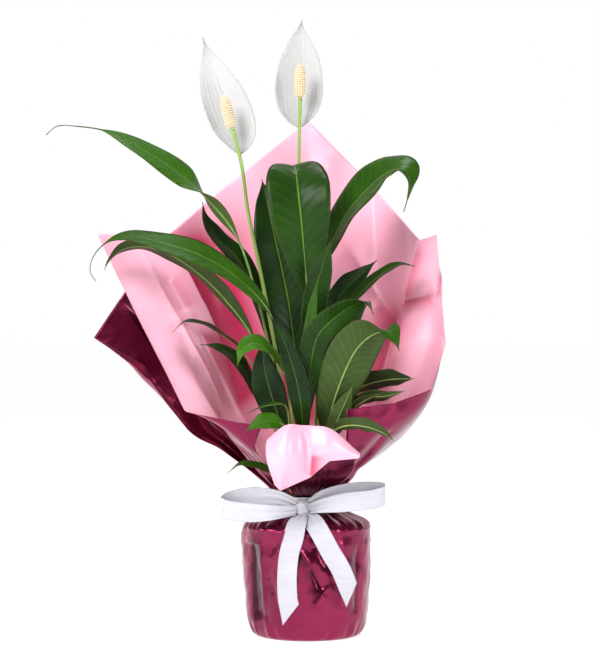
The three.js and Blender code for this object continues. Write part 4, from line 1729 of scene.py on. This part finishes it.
@dataclass
class Pot:
    """The grower's pot inside the film, with its thick rim, and the potting mix in it.

    Args:
        top: its outer radius under the rim, at the top.
        foot: its outer radius at the floor.
        height: its height.
        floor: the height of its underside.
        wall: how thick it is.
        rim: how far the rim stands out.
        band: how tall the rim is.
        soil: the height of the potting mix.
        slack: the gap between the mix and the wall.
    """

    top: float = 60.0
    foot: float = 45.0
    height: float = 107.0
    floor: float = 1.2
    wall: float = 1.4
    rim: float = 2.2
    band: float = 9.0
    soil: float = 99.0
    slack: float = 0.6

    def outer(self, z: float) -> float:
        """The radius of the outer wall at a height."""
        slope = (self.top - self.foot) / (self.height - self.floor)
        return self.foot + slope * (z - self.floor)

    def rings(self) -> list[tuple[float, float]]:
        """The rings that the disc is turned up through, outside and then inside, as radius and height."""
        low, lip, inner = self.height - self.band, self.top + self.rim, self.top - self.wall
        return [
            (self.outer(20), 20.0), (self.outer(60), 60.0), (self.outer(low), low),
            (self.outer(low) + self.rim, low + 1.0), (lip, self.height - 0.8), (lip - 0.6, self.height),
            (inner + 0.4, self.height), (inner, self.height - 0.6), (self.outer(60) - self.wall, 60.0),
            (self.outer(3) - self.wall, 3.0),
        ]

    def build_pot(self, plastic: bpy.types.Material) -> bpy.types.Object:
        """Turns a disc up into a pot with extrudes and scales.

        Args:
            plastic: its material.

        Returns:
            The pot, settled in the frame.
        """
        bpy.ops.object.select_all(action="DESELECT")
        bpy.ops.mesh.primitive_circle_add(vertices=96, radius=self.foot * MM, fill_type="NGON",
                                          location=(0, 0, self.floor * MM))
        pot = newest("pot_inside")
        bpy.ops.object.mode_set(mode="EDIT")
        bpy.ops.mesh.select_all(action="SELECT")
        radius, z = self.foot, self.floor
        for next_radius, next_z in self.rings():
            bpy.ops.mesh.extrude_region_move(TRANSFORM_OT_translate={"value": (0, 0, (next_z - z) * MM)})
            share = next_radius / radius
            bpy.ops.transform.resize(value=(share, share, 1), center_override=(0, 0, next_z * MM))
            radius, z = next_radius, next_z
        bpy.ops.mesh.select_all(action="SELECT")
        bpy.ops.mesh.normals_make_consistent(inside=False)
        bpy.ops.object.mode_set(mode="OBJECT")
        bpy.ops.object.transform_apply(location=True, rotation=True, scale=True)
        bpy.ops.object.shade_smooth_by_angle(angle=math.radians(40))
        pot.data.materials.append(plastic)
        return settle(pot, "growers_pot")

    def mix_surface(self, u: Array, v: Array) -> Array:
        """Places on the potting mix: a lumpy crown, walls that follow the pot, and a flat bottom.

        Args:
            u: place round it, from 0 to 1.
            v: place from the middle of its top to the middle of its bottom, from 0 to 1.

        Returns:
            The places in millimetres, shaped (samples, 3).
        """
        gap = self.wall + self.slack
        shares = (0, 0.4, 0.68, 0.8, 0.9, 1.0)
        top, foot = self.outer(self.soil - 6 + self.floor) - gap, self.outer(2 + self.floor) - gap
        radius = np.interp(v, shares, (0, 30, 50, top, foot, 0))
        z = np.interp(v, shares, (self.soil + 0.3, self.soil, self.soil - 0.6, self.soil - 3.5, 4, 4))
        turn = 2 * math.pi * u
        x, y = radius * np.cos(turn), radius * np.sin(turn)
        lumps = np.sin(x * 1.1 + 1.3 * np.sin(y * 0.5)) * np.sin(y * 1.3 + 1.1 * np.sin(x * 0.45))
        lumps = lumps + 0.6 * np.sin(x * 2.9 + y * 1.7) * np.sin(y * 3.3 - x)
        return np.column_stack([x, y, z - 0.5 + 0.55 * lumps * smooth(0.72 - v, 0.0, 0.1)])

    def build_mix(self, mix: bpy.types.Material) -> bpy.types.Object:
        """Models the potting mix.

        Args:
            mix: its material.

        Returns:
            The mix, settled in the frame.
        """
        soil = grid("mix_in_pot", 150, 120, self.mix_surface)
        close_seam(soil)
        soil.data.materials.append(mix)
        return settle(soil, "potting_soil")


# ---------------------------------------------------------------- studio


@dataclass
class Studio:
    """A plain white studio: floor, soft lights and the camera at the height of the leaves.

    Args:
        eye: the camera's place.
        lens: its focal length.
        sensor: the width of its sensor.
        floor_size: the floor's width in metres.
        floor_glow: how strongly the floor glows.
        backdrop: how the backdrop comes in as a ray turns to the back, as direction and share.
        room: the grey of the dim room in front, as direction upwards and brightness.
        lights: each light's name, place and aim in metres, width in metres and power in watts.
    """

    eye: Point = (-7.0, -2000.0, 304.0)
    lens: float = 109.1
    sensor: float = 36.0
    floor_size: float = 60.0
    floor_glow: float = 0.72
    backdrop: tuple[tuple[float, float], ...] = ((0.35, 0.0), (0.8, 1.0))
    room: tuple[tuple[float, float], ...] = ((0.0, 0.26), (0.8, 0.12))
    lights: tuple[tuple[str, Point, Point, float, float], ...] = (
        ("key", (-1.0, -1.5, 1.3), (0, 0, 0.32), 0.8, 38),
        ("fill", (1.5, -1.1, 0.6), (0, 0, 0.25), 0.5, 17),
        ("top", (0.1, 0.2, 1.9), (0, 0, 0.3), 0.6, 14),
        ("left", (-1.5, -0.6, 0.5), (0, 0, 0.2), 0.35, 10),
    )

    def light(self, name: str, place: Point, aim: Point, size: float, power: float) -> None:
        """Adds one soft light.

        Args:
            name: the light's name.
            place: where it is, in metres.
            aim: what it points at, in metres.
            size: its width in metres.
            power: in watts.
        """
        bpy.ops.object.light_add(type="AREA", location=place)
        lamp = bpy.context.active_object
        lamp.name = name
        lamp.data.size = size
        lamp.data.energy = power
        lamp.rotation_euler = (Vector(aim) - Vector(place)).to_track_quat("-Z", "Y").to_euler()

    def build_world(self) -> None:
        """A white backdrop behind the plant, and a dim room in front for gloss to show."""
        world = bpy.data.worlds.new("studio_world")
        world.use_nodes = True
        tree = world.node_tree
        split = tree.nodes.new("ShaderNodeSeparateXYZ")
        blend = tree.nodes.new("ShaderNodeMix")
        blend.data_type = "RGBA"
        tree.links.new(tree.nodes.new("ShaderNodeTexCoord").outputs["Generated"], split.inputs[0])
        for axis, target, greys in (("Y", 0, self.backdrop), ("Z", 6, self.room)):
            ramp = tree.nodes.new("ShaderNodeValToRGB")
            tree.links.new(split.outputs[axis], ramp.inputs[0])
            tree.links.new(ramp.outputs[0], blend.inputs[target])
            for element, (place, grey) in zip(ramp.color_ramp.elements, greys):
                element.position = place
                element.color = (grey, grey, grey, 1)
        blend.inputs[7].default_value = (1, 1, 1, 1)
        tree.links.new(blend.outputs[2], tree.nodes["Background"].inputs["Color"])
        bpy.context.scene.world = world

    def build_floor(self) -> None:
        """A white floor."""
        bpy.ops.mesh.primitive_plane_add(size=self.floor_size, location=(0, 0, 0))
        floor = newest("studio_floor")
        white = Paintbox("studio_white").done(
            Base_Color=(0.8, 0.8, 0.8), Roughness=0.9,
            Emission_Color=(1.0, 1.0, 1.0), Emission_Strength=self.floor_glow,
        )
        floor.data.materials.append(white)

    def build_camera(self) -> None:
        """The camera, level and square to the front."""
        bpy.ops.object.camera_add(location=Vector(self.eye) * MM, rotation=(math.radians(90), 0, 0))
        camera = bpy.context.active_object
        camera.name = "studio_camera"
        camera.data.lens = self.lens
        camera.data.sensor_width = self.sensor
        bpy.context.scene.camera = camera

    def build(self) -> None:
        """Sets up the whole studio."""
        bpy.context.scene.view_settings.view_transform = "Standard"
        self.build_camera()
        self.build_world()
        self.build_floor()
        for light in self.lights:
            self.light(*light)


def main() -> None:
    """Builds the plant piece by piece."""
    logging.basicConfig(level=logging.INFO, format="%(message)s")
    Studio().build()
    pot, knot, satin = Pot(), Knot(), SATIN.material()
    pink, magenta = PINK_FILM.material(), MAGENTA_FILM.material()
    pot.build_pot(POT_PLASTIC.material())
    pot.build_mix(POTTING_MIX.material())
    Skirt().build(magenta, pink)
    knot.build_tie(satin)
    knot.build_knot(satin)
    for band in BANDS:
        band.build(satin)
    for panel in PANELS:
        panel.build(pink, magenta)
    faces = {"upper": UPPER_LEAF.material(), "under": UNDER_LEAF.material(), "stalk": LEAF_STALK.material()}
    for leaf in LEAVES:
        leaf.build(faces)
    hood, stalk, spadix = SPATHE.material(), FLOWER_STALK.material(), SPADIX.material()
    for flower in FLOWERS:
        flower.build(hood, stalk, spadix)


if __name__ == "__main__":
    main()
